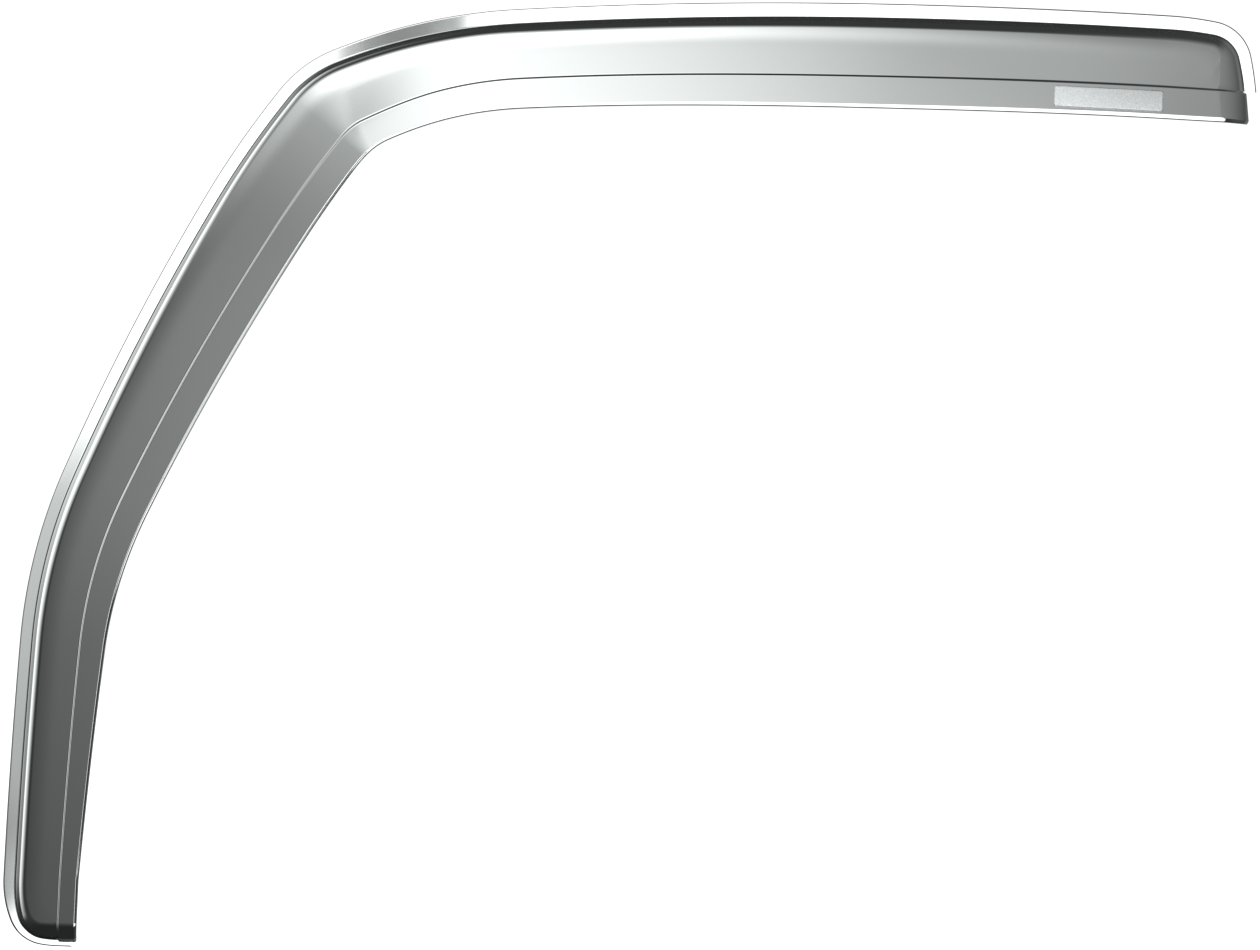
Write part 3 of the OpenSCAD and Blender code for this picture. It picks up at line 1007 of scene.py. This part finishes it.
@dataclass(frozen=True)
class ChromeFinish:
    """Mirror chrome over a moulding, with shade painted into the hollow at the riser's foot.

    Attributes:
        colour: the metal's own tint.
        painted_shade: painted shade, a dark tint in the hollow at the riser's foot for the dark that the
            chrome reflects there.
        roughness: how blurred the mirror is.
        hollow_roughness: how much the hollow at the riser's foot adds to that.
        haze: how much a patch of haze adds to it.
        haze_patch: where in the noise a patch starts and is full.
        haze_scale: patches of haze per metre.
        haze_detail: detail of their noise.
        ripple: height of the moulding's slow waves.
        ripple_scale: waves per metre.
        ripple_detail: detail of their noise.
    """

    colour: Colour = (0.80, 0.812, 0.81, 1.0)
    # painted shade: a dark tint where the chrome reflects dark in the hollow at the riser's foot
    painted_shade: Colour = (0.22, 0.22, 0.22, 1.0)
    roughness: float = 0.045
    hollow_roughness: float = 0.1
    haze: float = 0.03
    haze_patch: Step = (0.4, 0.75)
    haze_scale: float = 18.0
    haze_detail: float = 3.0
    ripple: float = 0.02 * MM
    ripple_scale: float = 14.0
    ripple_detail: float = 1.0

    def material(self, name: str) -> bpy.types.Material:
        """Builds the material.

        Args:
            name: the material's name.

        Returns:
            The material.
        """
        material, graph = new_material(name)
        patches = graph.noise(self.haze_scale, self.haze_detail).rise(*self.haze_patch)
        waves = graph.noise(self.ripple_scale, self.ripple_detail)
        # mask of the hollow at the riser's foot, where shade is painted into the base colour and roughness is
        # added
        crease = graph.node("ShaderNodeAttribute", {"attribute_name": "crease"}, {}, "Fac")
        graph.surface({
            "Base Color": graph.ramp(crease, (0.0, self.colour), (1.0, self.painted_shade)),
            "Metallic": 1.0,
            "Roughness": self.roughness + self.haze * patches + self.hollow_roughness * crease,
            "Normal": graph.relief(waves, self.ripple),
        })
        return material


@dataclass(frozen=True)
class SatinFinish:
    """Satin metal with a fine grain.

    Attributes:
        light: colour of the grain's high points.
        dark: colour of the grain's low points.
        tones: where in the noise the dark and the light colour stand.
        metallic: share of metal in the surface.
        roughness: lowest roughness.
        roughness_swing: how much the grain adds to it.
        grain: height of the grain.
        grain_scale: grains per metre.
        grain_detail: detail of their noise.
    """

    light: Colour = (0.95, 0.96, 0.96, 1.0)
    dark: Colour = (0.72, 0.73, 0.74, 1.0)
    tones: Step = (0.35, 0.65)
    metallic: float = 0.85
    roughness: float = 0.42
    roughness_swing: float = 0.12
    grain: float = 0.02 * MM
    grain_scale: float = 1500.0
    grain_detail: float = 2.0

    def material(self, name: str) -> bpy.types.Material:
        """Builds the material.

        Args:
            name: the material's name.

        Returns:
            The material.
        """
        material, graph = new_material(name)
        grain = graph.noise(self.grain_scale, self.grain_detail)
        graph.surface({
            "Base Color": graph.ramp(grain, (self.tones[0], self.dark), (self.tones[1], self.light)),
            "Metallic": self.metallic,
            "Roughness": self.roughness + self.roughness_swing * grain,
            "Normal": graph.relief(grain, self.grain),
        })
        return material


@dataclass(frozen=True)
class FoamFinish:
    """Dark foam, as in mounting tape and adhesive pads.

    Attributes:
        low: colour of the cells.
        high: colour between the cells.
        tones: where in the pattern the low and the high colour stand.
        roughness: lowest roughness.
        roughness_swing: how much the pattern adds to it.
        cell: depth of the cells.
        cell_scale: cells per metre.
        relief: strength of their relief.
    """

    low: Colour = (0.012, 0.012, 0.013, 1.0)
    high: Colour = (0.05, 0.05, 0.053, 1.0)
    tones: Step = (0.1, 0.7)
    roughness: float = 0.75
    roughness_swing: float = 0.2
    cell: float = 0.08 * MM
    cell_scale: float = 2600.0
    relief: float = 0.8

    def material(self, name: str) -> bpy.types.Material:
        """Builds the material.

        Args:
            name: the material's name.

        Returns:
            The material.
        """
        material, graph = new_material(name)
        where = graph.node("ShaderNodeTexCoord", {}, {}, "Object")
        pattern = {"Vector": where, "Scale": self.cell_scale}
        cells = graph.node("ShaderNodeTexVoronoi", {}, pattern, "Distance")
        graph.surface({
            "Base Color": graph.ramp(cells, (self.tones[0], self.low), (self.tones[1], self.high)),
            "Roughness": self.roughness + self.roughness_swing * cells,
            "Normal": graph.relief(cells, self.cell, self.relief),
        })
        return material


def deselect_all() -> None:
    """Leaves object mode with nothing selected."""
    if bpy.context.object and bpy.context.object.mode != "OBJECT":
        bpy.ops.object.mode_set(mode="OBJECT")
    bpy.ops.object.select_all(action="DESELECT")


def shaped_grid(name: str, rows: Rows) -> bpy.types.Object:
    """Adds a grid primitive and moves its vertices onto rows of points.

    Args:
        name: the object's name.
        rows: points of equal count, row by row.

    Returns:
        The new object.
    """
    deselect_all()
    bpy.ops.mesh.primitive_grid_add(
        x_subdivisions=len(rows[0]) - 1, y_subdivisions=len(rows) - 1, calc_uvs=False
    )
    piece = bpy.context.object
    piece.name = piece.data.name = name
    piece.data.vertices.foreach_set("co", np.array(rows, dtype=np.float32).ravel())
    piece.data.update()
    return piece


def weld(pieces: Sequence[bpy.types.Object], gap: float) -> bpy.types.Object:
    """Joins pieces into the first one and merges the vertices that coincide.

    Args:
        pieces: the objects to join.
        gap: largest distance between vertices that become one.

    Returns:
        The first piece, with faces that point outwards.
    """
    deselect_all()
    for piece in pieces:
        piece.select_set(True)
    bpy.context.view_layer.objects.active = pieces[0]
    bpy.ops.object.join()
    bpy.ops.object.mode_set(mode="EDIT")
    bpy.ops.mesh.select_all(action="SELECT")
    bpy.ops.mesh.remove_doubles(threshold=gap)
    bpy.ops.mesh.select_all(action="SELECT")
    bpy.ops.mesh.normals_make_consistent(inside=False)
    bpy.ops.object.mode_set(mode="OBJECT")
    return pieces[0]


@dataclass
class Visor:
    """The moulded sheet, with its mirror finish.

    Attributes:
        form: its sizes and points.
        finish: its finish.
        weld_gap: largest distance between points that become one.
        sharp_angle: angle from which an edge stays sharp, in degrees.
    """

    form: VisorForm = field(default_factory=VisorForm)
    finish: ChromeFinish = field(default_factory=ChromeFinish)
    weld_gap: float = 0.002 * MM
    sharp_angle: float = 32.0

    def _rim_rows(self, skin: tuple[Rows, Rows], back: tuple[Rows, Rows]) -> Rows:
        """Returns the rows of the rim: from the outer skin to the back, once round the sheet.

        Args:
            skin: rows of the outer skin, across the strip and across the lip.
            back: rows of the back.

        Returns:
            The rows, with the first one again at the end.
        """
        rim = self._border(*skin)
        behind = self._border(*back)
        rows = [[front, mix(front, rear, 0.5), rear] for front, rear in zip(rim, behind)]
        return rows + rows[:1]

    def _border(self, strip: Rows, lip: Rows) -> list[np.ndarray]:
        """Returns the border of a skin in order: flange, rear end, free edge and foot.

        Args:
            strip: rows across the strip.
            lip: rows across the lip.

        Returns:
            The border's points.
        """
        riser = self.form.riser
        points = [strip[0][column] for column in range(riser, 0, -1)]
        points += [row[0] for row in strip]
        points += [strip[-1][column] for column in range(1, riser + 1)]
        points += lip[-1][1:]
        points += [row[-1] for row in lip[-2::-1]]
        points += lip[0][-2:0:-1]
        return points

    def _mark_crease(self, shell: bpy.types.Object, rows: int) -> None:
        """Marks the hollow at the riser's foot, where the finish paints shade.

        Args:
            shell: the outer skin's grid across the strip.
            rows: count of its rows.
        """
        steps = self.form.hollow_steps
        marks = np.zeros(len(shell.data.vertices)).reshape(rows, -1)
        for k in range(steps + 1):
            marks[:, self.form.riser - steps + k] = math.sin(math.pi * k / steps)
        shell.data.attributes.new("crease", "FLOAT", "POINT").data.foreach_set("value", marks.ravel())

    def build(self) -> bpy.types.Object:
        """Builds the closed sheet and dresses it.

        Returns:
            The finished piece.
        """
        skin, back = self.form.skin_rows(), self.form.back_rows()
        parts = [
            shaped_grid("visor_shell", skin[0]),
            shaped_grid("lip_front", skin[1]),
            shaped_grid("strip_back", back[0]),
            shaped_grid("lip_back", back[1]),
            shaped_grid("rim", self._rim_rows(skin, back)),
        ]
        self._mark_crease(parts[0], len(skin[0]))
        piece = weld(parts, self.weld_gap)
        bpy.ops.object.shade_smooth_by_angle(angle=math.radians(self.sharp_angle))
        piece.data.materials.clear()
        piece.data.materials.append(self.finish.material("mirror_chrome"))
        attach(piece, "root")
        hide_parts("visor")
        return piece


def select_edges(piece: bpy.types.Object, test: Callable[[Vector, Vector], bool]) -> None:
    """Enters edit mode with the edges selected whose end points pass a test.

    Args:
        piece: the object to edit.
        test: takes an edge's two end points.
    """
    deselect_all()
    piece.select_set(True)
    bpy.context.view_layer.objects.active = piece
    bpy.ops.object.mode_set(mode="EDIT")
    bpy.ops.mesh.select_mode(type="EDGE")
    bpy.ops.mesh.select_all(action="DESELECT")
    bpy.ops.object.mode_set(mode="OBJECT")
    for edge in piece.data.edges:
        start, end = (piece.data.vertices[index].co for index in edge.vertices)
        edge.select = test(start, end)
    bpy.ops.object.mode_set(mode="EDIT")


@dataclass
class Badge:
    """The blank nameplate on the lip, with rounded corners and a rounded rim.

    Attributes:
        form: the visor that it lies on.
        finish: its finish.
        length: its length along the lip.
        height: its height across the lip.
        thickness: its thickness.
        corner: rounding of its corners.
        corner_steps: steps round a corner.
        rim: rounding of its rim.
        rim_steps: steps round the rim.
        sharp_angle: angle from which an edge stays sharp, in degrees.
        from_rear: distance of its middle from the roof line's rear end.
        below_face: distance of its middle from the joggle's foot.
        off_lip: room for the adhesive pad and a slack of 0.1 mm.
    """

    form: VisorForm = field(default_factory=VisorForm)
    finish: SatinFinish = field(default_factory=SatinFinish)
    length: float = 73.0 * MM
    height: float = 14.2 * MM
    thickness: float = 1.2 * MM
    corner: float = 1.6 * MM
    corner_steps: int = 8
    rim: float = 0.7 * MM
    rim_steps: int = 5
    sharp_angle: float = 30.0
    from_rear: float = 38.0 * MM
    below_face: float = 11.3 * MM
    off_lip: float = 0.5 * MM

    def _placing(self) -> Matrix:
        """Returns the matrix that carries the plate from the origin onto the lip.

        Returns:
            The matrix.
        """
        place = self.form.rail_end - self.from_rear
        flat = self.form.outline.plan(place, self.form.face.at(place) + self.below_face)
        inward = self.form.outline.inward(place)
        outward = unit(self.form.direction(-self.form.tan_slope * inward, 1.0))
        along = unit(self.form.direction(ahead(self.form.outline.at(place)[1]), 0.0))
        proud = self.form.joggle_height + self.off_lip + self.thickness / 2
        middle = self.form.space(flat, self.form.face_height(place, flat)) + proud * outward
        turn = np.column_stack([along, np.cross(outward, along), outward])
        return Matrix.Translation(middle) @ Matrix(turn.tolist()).to_4x4()

    def build(self) -> bpy.types.Object:
        """Builds the plate from a cube and dresses it.

        Returns:
            The finished piece.
        """
        deselect_all()
        bpy.ops.mesh.primitive_cube_add(size=1.0, calc_uvs=False)
        piece = bpy.context.object
        piece.name = piece.data.name = "badge_plate"
        piece.scale = (self.length, self.height, self.thickness)
        bpy.ops.object.transform_apply(location=False, rotation=False, scale=True)
        select_edges(piece, lambda start, end: start.z * end.z < 0)
        bpy.ops.mesh.bevel(offset=self.corner, segments=self.corner_steps, affect="EDGES")
        top = self.thickness / 2 - self.rim / 4
        select_edges(piece, lambda start, end: min(start.z, end.z) > top)
        bpy.ops.mesh.bevel(offset=self.rim, segments=self.rim_steps, affect="EDGES")
        bpy.ops.object.mode_set(mode="OBJECT")
        piece.matrix_world = self._placing()
        bpy.ops.object.transform_apply(location=True, rotation=True, scale=True)
        bpy.ops.object.shade_smooth_by_angle(angle=math.radians(self.sharp_angle))
        piece.data.materials.clear()
        piece.data.materials.append(self.finish.material("satin_metal"))
        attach(piece, "root")
        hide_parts("badge")
        return piece


@dataclass
class Bonding:
    """The foam tapes and the badge's adhesive pad, which keep the meshes of their CAD nodes.

    Attributes:
        tapes: names of the tapes' nodes.
        pads: names of the pads' nodes.
        tape_finish: finish of the tapes.
        pad_finish: finish of the pads.
    """

    tapes: tuple[str, ...] = ("tape_leg", "tape_pillar", "tape_top")
    pads: tuple[str, ...] = ("badge_pad",)
    tape_finish: FoamFinish = field(default_factory=FoamFinish)
    pad_finish: FoamFinish = field(default_factory=lambda: FoamFinish(high=(0.09, 0.09, 0.095, 1.0)))

    def dress(self, nodes: dict[str, bpy.types.Object]) -> list[bpy.types.Object]:
        """Gives the tapes and the pad their foam.

        Args:
            nodes: the CAD nodes by name.

        Returns:
            The dressed nodes.
        """
        dressed = []
        for names, material in (
            (self.tapes, self.tape_finish.material("foam_tape")),
            (self.pads, self.pad_finish.material("adhesive_pad")),
        ):
            for name in names:
                nodes[name].data.materials.clear()
                nodes[name].data.materials.append(material)
                dressed.append(nodes[name])
        return dressed


@dataclass(frozen=True)
class TentPlace:
    """A place on the light tent, in the sockets of its material.

    Attributes:
        x: distance from the tent's middle towards the rear of the door.
        z: height above the tent's middle.
        spread: angle from the direction straight out of the bright side, in degrees.
        bearing: angle round that direction, anticlockwise from the rear of the door, in degrees.
    """

    x: Socket
    z: Socket
    spread: Socket
    bearing: Socket


@dataclass(frozen=True)
class TentLight:
    """Brightness over the light tent, which the chrome reflects.

    A pair of values is a soft step. Steps named rear, front and low run over the bearing, and near and far
    ones over the spread. Steps named ahead, behind, bottom and top run over distances from the middle.

    Attributes:
        mirror: share of the light that the chrome gives back.
        room: faint light of the room.
        room_loss: how much of it is missing below the front.
        box: soft box over the roof line, whose front edge slants and whose far edge comes nearer to the rear.
        box_foot: share that the box loses near its lower edge.
        dull: share that the box loses in a grey patch, which the face shows at the corner.
        wall: white wall in front, whose near edge slants away on both sides of its middle.
        glow: faint light on the rear side.
        shade: share that the glow loses beside the box.
        side: soft light on the front side.
        back: light from behind the part, which grows with the height.
        gap: share that all lights in front lose in a dark gap, which the flange shows at the corner.
        panel: white panel behind the camera.
        panel_edge: spread over which the panel ends.
        panel_soft: how much softer its edge gets where the panel reaches further.
        short_reach: how much further it reaches to the rear and at the heel, in degrees.
        long_reach: how much further it reaches at the foot and below the sill, in degrees.
        figure: share that the panel loses in a dark shape, which the flange shows on the leg.
    """

    mirror: float = 0.8
    room: float = 0.036
    room_loss: float = 0.018
    room_low: Step = (200.0, 225.0)
    box: float = 2.3
    box_rear: Step = (32.0, 74.0)
    box_front: Step = (96.0, 146.0)
    box_front_slant: float = 0.67
    box_front_start: float = 30.0
    box_far: Step = (24.0, 78.0)
    box_far_slant: float = 0.8
    box_far_start: float = 100.0
    box_foot: float = 0.5
    box_foot_far: Step = (36.5, 42.5)
    dull: float = 0.42
    dull_rear: Step = (107.0, 117.0)
    dull_front: Step = (126.0, 142.0)
    dull_near: Step = (35.2, 35.7)
    dull_far: Step = (36.0, 37.4)
    dull_far_slant: float = 0.1
    dull_far_start: float = 118.0
    wall: float = 1.1
    wall_near: Step = (52.0, 92.0)
    wall_near_slant: float = 0.5
    wall_middle: float = 162.0
    wall_rear: Step = (98.0, 142.0)
    wall_low: Step = (186.0, 211.0)
    glow: float = 0.19
    glow_far: Step = (21.0, 150.0)
    glow_front: Step = (63.0, 77.0)
    glow_low: Step = (-30.0, 10.0)
    shade: float = 0.9
    shade_rear: Step = (40.0, 60.0)
    shade_near: Step = (48.0, 80.0)
    side: float = 0.58
    side_far: Step = (0.0, 60.0)
    side_rear: Step = (85.0, 157.0)
    side_low: Step = (130.0, 250.0)
    back: float = 0.6
    back_near: Step = (115.0, 165.0)
    back_level: float = 0.6
    back_climb: float = 0.25
    gap: float = 0.88
    gap_ahead: Step = (-0.232, -0.21)
    gap_behind: Step = (-0.132, -0.11)
    gap_bottom: Step = (0.20, 0.25)
    gap_top: Step = (0.48, 0.56)
    panel: float = 1.3
    panel_edge: Step = (20.0, 23.0)
    panel_soft: float = 1.15
    short_reach: float = 8.0
    long_reach: float = 20.0
    rear_low: Step = (5.0, 15.0)
    rear_front: Step = (45.0, 58.0)
    heel_low: Step = (214.0, 219.0)
    foot_low: Step = (215.0, 255.0)
    sill_low: Step = (-70.0, -50.0)
    sill_rear: Step = (-40.0, -25.0)
    sill_near: Step = (29.0, 32.0)
    figure: float = 0.8
    figure_behind: Step = (-0.36, -0.30)
    figure_bottom: Step = (-0.34, -0.26)
    figure_top: Step = (-0.02, 0.10)

    def at(self, place: TentPlace) -> Socket:
        """Returns the brightness at a place.

        Args:
            place: the place.

        Returns:
            The strength of the tent's emission.
        """
        gap = place.x.rise(*self.gap_ahead) * place.x.fall(*self.gap_behind)
        gap = gap * place.z.rise(*self.gap_bottom) * place.z.fall(*self.gap_top)
        front = (self._box(place) + self._side(place) + self._panel(place)) * (1 - self.gap * gap)
        room = self.room - self.room_loss * place.bearing.rise(*self.room_low)
        back = self.back * place.spread.rise(*self.back_near) * (self.back_level + self.back_climb * place.z)
        return (room + back + self._wall(place) + self._glow(place) + front) / self.mirror

    def _box(self, place: TentPlace) -> Socket:
        """Returns the soft box over the roof line, with its grey patch.

        Args:
            place: a place on the tent.

        Returns:
            The brightness there.
        """
        spread, bearing = place.spread, place.bearing
        slant = self.box_front_slant * (spread - self.box_front_start)
        sides = bearing.rise(*self.box_rear) * (bearing - slant).fall(*self.box_front)
        nearer = self.box_far_slant * (self.box_far_start - bearing).at_least(0.0)
        depth = (spread + nearer).fall(*self.box_far) * (1 - self.box_foot * spread.fall(*self.box_foot_far))
        slant = self.dull_far_slant * (bearing - self.dull_far_start)
        dull = bearing.rise(*self.dull_rear) * bearing.fall(*self.dull_front)
        dull = dull * spread.rise(*self.dull_near) * (spread + slant).fall(*self.dull_far)
        return self.box * sides * depth * (1 - self.dull * dull)

    def _wall(self, place: TentPlace) -> Socket:
        """Returns the white wall in front.

        Args:
            place: a place on the tent.

        Returns:
            The brightness there.
        """
        slant = self.wall_near_slant * abs(place.bearing - self.wall_middle)
        sides = place.bearing.rise(*self.wall_rear) * place.bearing.fall(*self.wall_low)
        return self.wall * (place.spread - slant).rise(*self.wall_near) * sides

    def _glow(self, place: TentPlace) -> Socket:
        """Returns the faint light on the rear side.

        Args:
            place: a place on the tent.

        Returns:
            The brightness there.
        """
        sides = place.bearing.fall(*self.glow_front) * place.bearing.rise(*self.glow_low)
        shade = place.bearing.rise(*self.shade_rear) * place.spread.rise(*self.shade_near)
        return self.glow * place.spread.fall(*self.glow_far) * sides * (1 - self.shade * shade)

    def _side(self, place: TentPlace) -> Socket:
        """Returns the soft light on the front side."""
        sides = place.bearing.rise(*self.side_rear) * place.bearing.fall(*self.side_low)
        return self.side * place.spread.fall(*self.side_far) * sides

    def _panel(self, place: TentPlace) -> Socket:
        """Returns the white panel behind the camera, which reaches further to the rear and down.

        Args:
            place: a place on the tent.

        Returns:
            The brightness there.
        """
        spread, bearing = place.spread, place.bearing
        rear = self.short_reach * bearing.rise(*self.rear_low) * bearing.fall(*self.rear_front)
        heel = self.short_reach * bearing.rise(*self.heel_low)
        foot = self.long_reach * bearing.rise(*self.foot_low)
        sill = self.long_reach * bearing.fall(*self.sill_low)
        sill_end = self.long_reach * bearing.fall(*self.sill_rear) * spread.rise(*self.sill_near)
        reach = rear.at_least(heel).at_least(foot).at_least(sill).at_least(sill_end)
        figure = place.x.fall(*self.figure_behind)
        figure = figure * place.z.rise(*self.figure_bottom) * place.z.fall(*self.figure_top)
        start, end = self.panel_edge
        edge = spread.fall(start + reach, end + self.panel_soft * reach)
        return self.panel * edge * (1 - self.figure * figure)


@dataclass
class Studio:
    """Pale floor, white surroundings and a tent of soft light, with the camera square to the part.

    The tent is a sphere that only the part's own surfaces see.

    Attributes:
        light: brightness over the tent.
        frame_width: width of the picture, in pixels.
        scale: size of a pixel at the part.
        sensor: width of the camera's sensor, in millimetres.
        camera_distance: distance from the camera to the part's middle.
        picture_middle: x and z of the picture's middle.
        middle_depth: y of the part's middle.
        tent_radius: radius of the tent.
        tent_segments: faces round the tent.
        tent_tint: colour of its light.
        floor_drop: distance from the part's lowest point down to the floor.
        floor_size: size of the floor.
        floor_paint: colour of the floor.
        floor_glow: light that the floor gives off.
        seen_white: brightness of the surroundings for the camera.
        fill: brightness of the surroundings for the part.
    """

    light: TentLight = field(default_factory=TentLight)
    frame_width: float = 1260.0
    scale: float = 0.67 * MM
    sensor: float = 36.0
    camera_distance: float = 12.0
    picture_middle: tuple[float, float] = (-83.1 * MM, -312.8 * MM)
    middle_depth: float = -16.0 * MM
    tent_radius: float = 1.5
    tent_segments: int = 96
    tent_tint: Colour = (0.97, 1.0, 0.99, 1.0)
    floor_drop: float = 60.0 * MM
    floor_size: float = 40.0
    floor_paint: Colour = (0.9, 0.9, 0.9, 1.0)
    floor_glow: float = 0.6
    seen_white: float = 1.1
    fill: float = 0.9

    def camera(self) -> bpy.types.Object:
        """Adds the camera at the picture's viewing angle.

        Returns:
            The camera.
        """
        data = bpy.data.cameras.new("camera")
        data.sensor_width = self.sensor
        data.lens = self.sensor * self.camera_distance / (self.frame_width * self.scale)
        data.clip_end = 4 * self.camera_distance
        camera = bpy.data.objects.new("camera", data)
        bpy.context.scene.collection.objects.link(camera)
        across, up = self.picture_middle
        camera.location = (across, self.middle_depth - self.camera_distance, up)
        camera.rotation_euler = (math.radians(90.0), 0.0, 0.0)
        bpy.context.scene.camera = camera
        return camera

    def floor(self, lowest: float) -> bpy.types.Object:
        """Adds the pale floor below the part, which is clear from underneath.

        Args:
            lowest: height of the part's lowest point.

        Returns:
            The floor.
        """
        deselect_all()
        bpy.ops.mesh.primitive_plane_add(size=self.floor_size, location=(0.0, 0.0, lowest - self.floor_drop))
        floor = bpy.context.object
        floor.name = "floor"
        material, graph = new_material("pale_floor")
        paint = graph.node("ShaderNodeBsdfDiffuse", {}, {"Color": self.floor_paint})
        glow = graph.node("ShaderNodeEmission", {}, {"Color": WHITE, "Strength": self.floor_glow})
        both = graph.node("ShaderNodeAddShader", {}, {0: paint, 1: glow})
        below = graph.node("ShaderNodeNewGeometry", {}, {}, "Backfacing")
        clear = graph.node("ShaderNodeBsdfTransparent", {}, {})
        sheet = graph.node("ShaderNodeMixShader", {}, {0: below, 1: both, 2: clear})
        graph.add("ShaderNodeOutputMaterial", {}, {"Surface": sheet})
        floor.data.materials.append(material)
        floor.visible_glossy = False
        floor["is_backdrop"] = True
        return floor

    def surroundings(self) -> None:
        """Gives the world an even white for the eye and a soft fill for the part."""
        world = bpy.data.worlds.new("studio")
        bpy.context.scene.world = world
        world.use_nodes = True
        graph = Graph(world.node_tree)
        seen = graph.node("ShaderNodeLightPath", {}, {}, "Is Camera Ray")
        white = graph.node("ShaderNodeBackground", {}, {"Color": WHITE, "Strength": self.seen_white})
        fill = graph.node("ShaderNodeBackground", {}, {"Color": WHITE, "Strength": self.fill})
        both = graph.node("ShaderNodeMixShader", {}, {0: seen, 1: fill, 2: white})
        graph.add("ShaderNodeOutputWorld", {}, {"Surface": both})

    def tent(self) -> bpy.types.Object:
        """Adds the light tent round the part.

        Returns:
            The tent.
        """
        deselect_all()
        across, up = self.picture_middle
        rings = self.tent_segments // 2
        bpy.ops.mesh.primitive_uv_sphere_add(
            segments=self.tent_segments, ring_count=rings, radius=self.tent_radius
        )
        tent = bpy.context.object
        tent.name = "light_tent"
        tent.location = (across, self.middle_depth, up)
        material, graph = new_material("tent_light")
        light = self.light.at(self._places(graph))
        glow = graph.node("ShaderNodeEmission", {}, {"Color": self.tent_tint, "Strength": light})
        graph.add("ShaderNodeOutputMaterial", {}, {"Surface": glow})
        tent.data.materials.append(material)
        tent.visible_camera = False
        tent.visible_diffuse = False
        tent.visible_shadow = False
        tent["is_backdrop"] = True
        return tent

    def _places(self, graph: Graph) -> TentPlace:
        """Returns where the points of the tent lie.

        Args:
            graph: the graph of the tent's material.

        Returns:
            The places, as sockets of that graph.
        """
        x, y, z = graph.place()
        degrees = math.degrees(1.0)
        spread = graph.node("ShaderNodeMath", {"operation": "ARCCOSINE"}, {0: -1 / self.tent_radius * y})
        bearing = graph.node("ShaderNodeMath", {"operation": "ARCTAN2"}, {0: -1 * x, 1: z})
        return TentPlace(x, z, degrees * spread, 90 + degrees * bearing)


def main() -> None:
    """Builds the part's looks and the studio, and reports each piece."""
    logging.basicConfig(level=logging.INFO, format="%(name)s: %(message)s")
    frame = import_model()
    packed_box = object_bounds()
    studio = Studio()
    studio.camera()
    form = VisorForm()
    pieces = [Visor(form).build(), Badge(form).build(), *Bonding().dress(frame["nodes"])]
    for piece in pieces:
        size = ", ".join(f"{1000 * extent:.1f}" for extent in piece.dimensions)
        LOG.info("%s: %d faces, %s mm", piece.name, len(piece.data.polygons), size)
    studio.floor(packed_box[0].z)
    studio.surroundings()
    studio.tent()
    bpy.context.scene.view_settings.view_transform = "Standard"


if __name__ == "__main__":
    main()
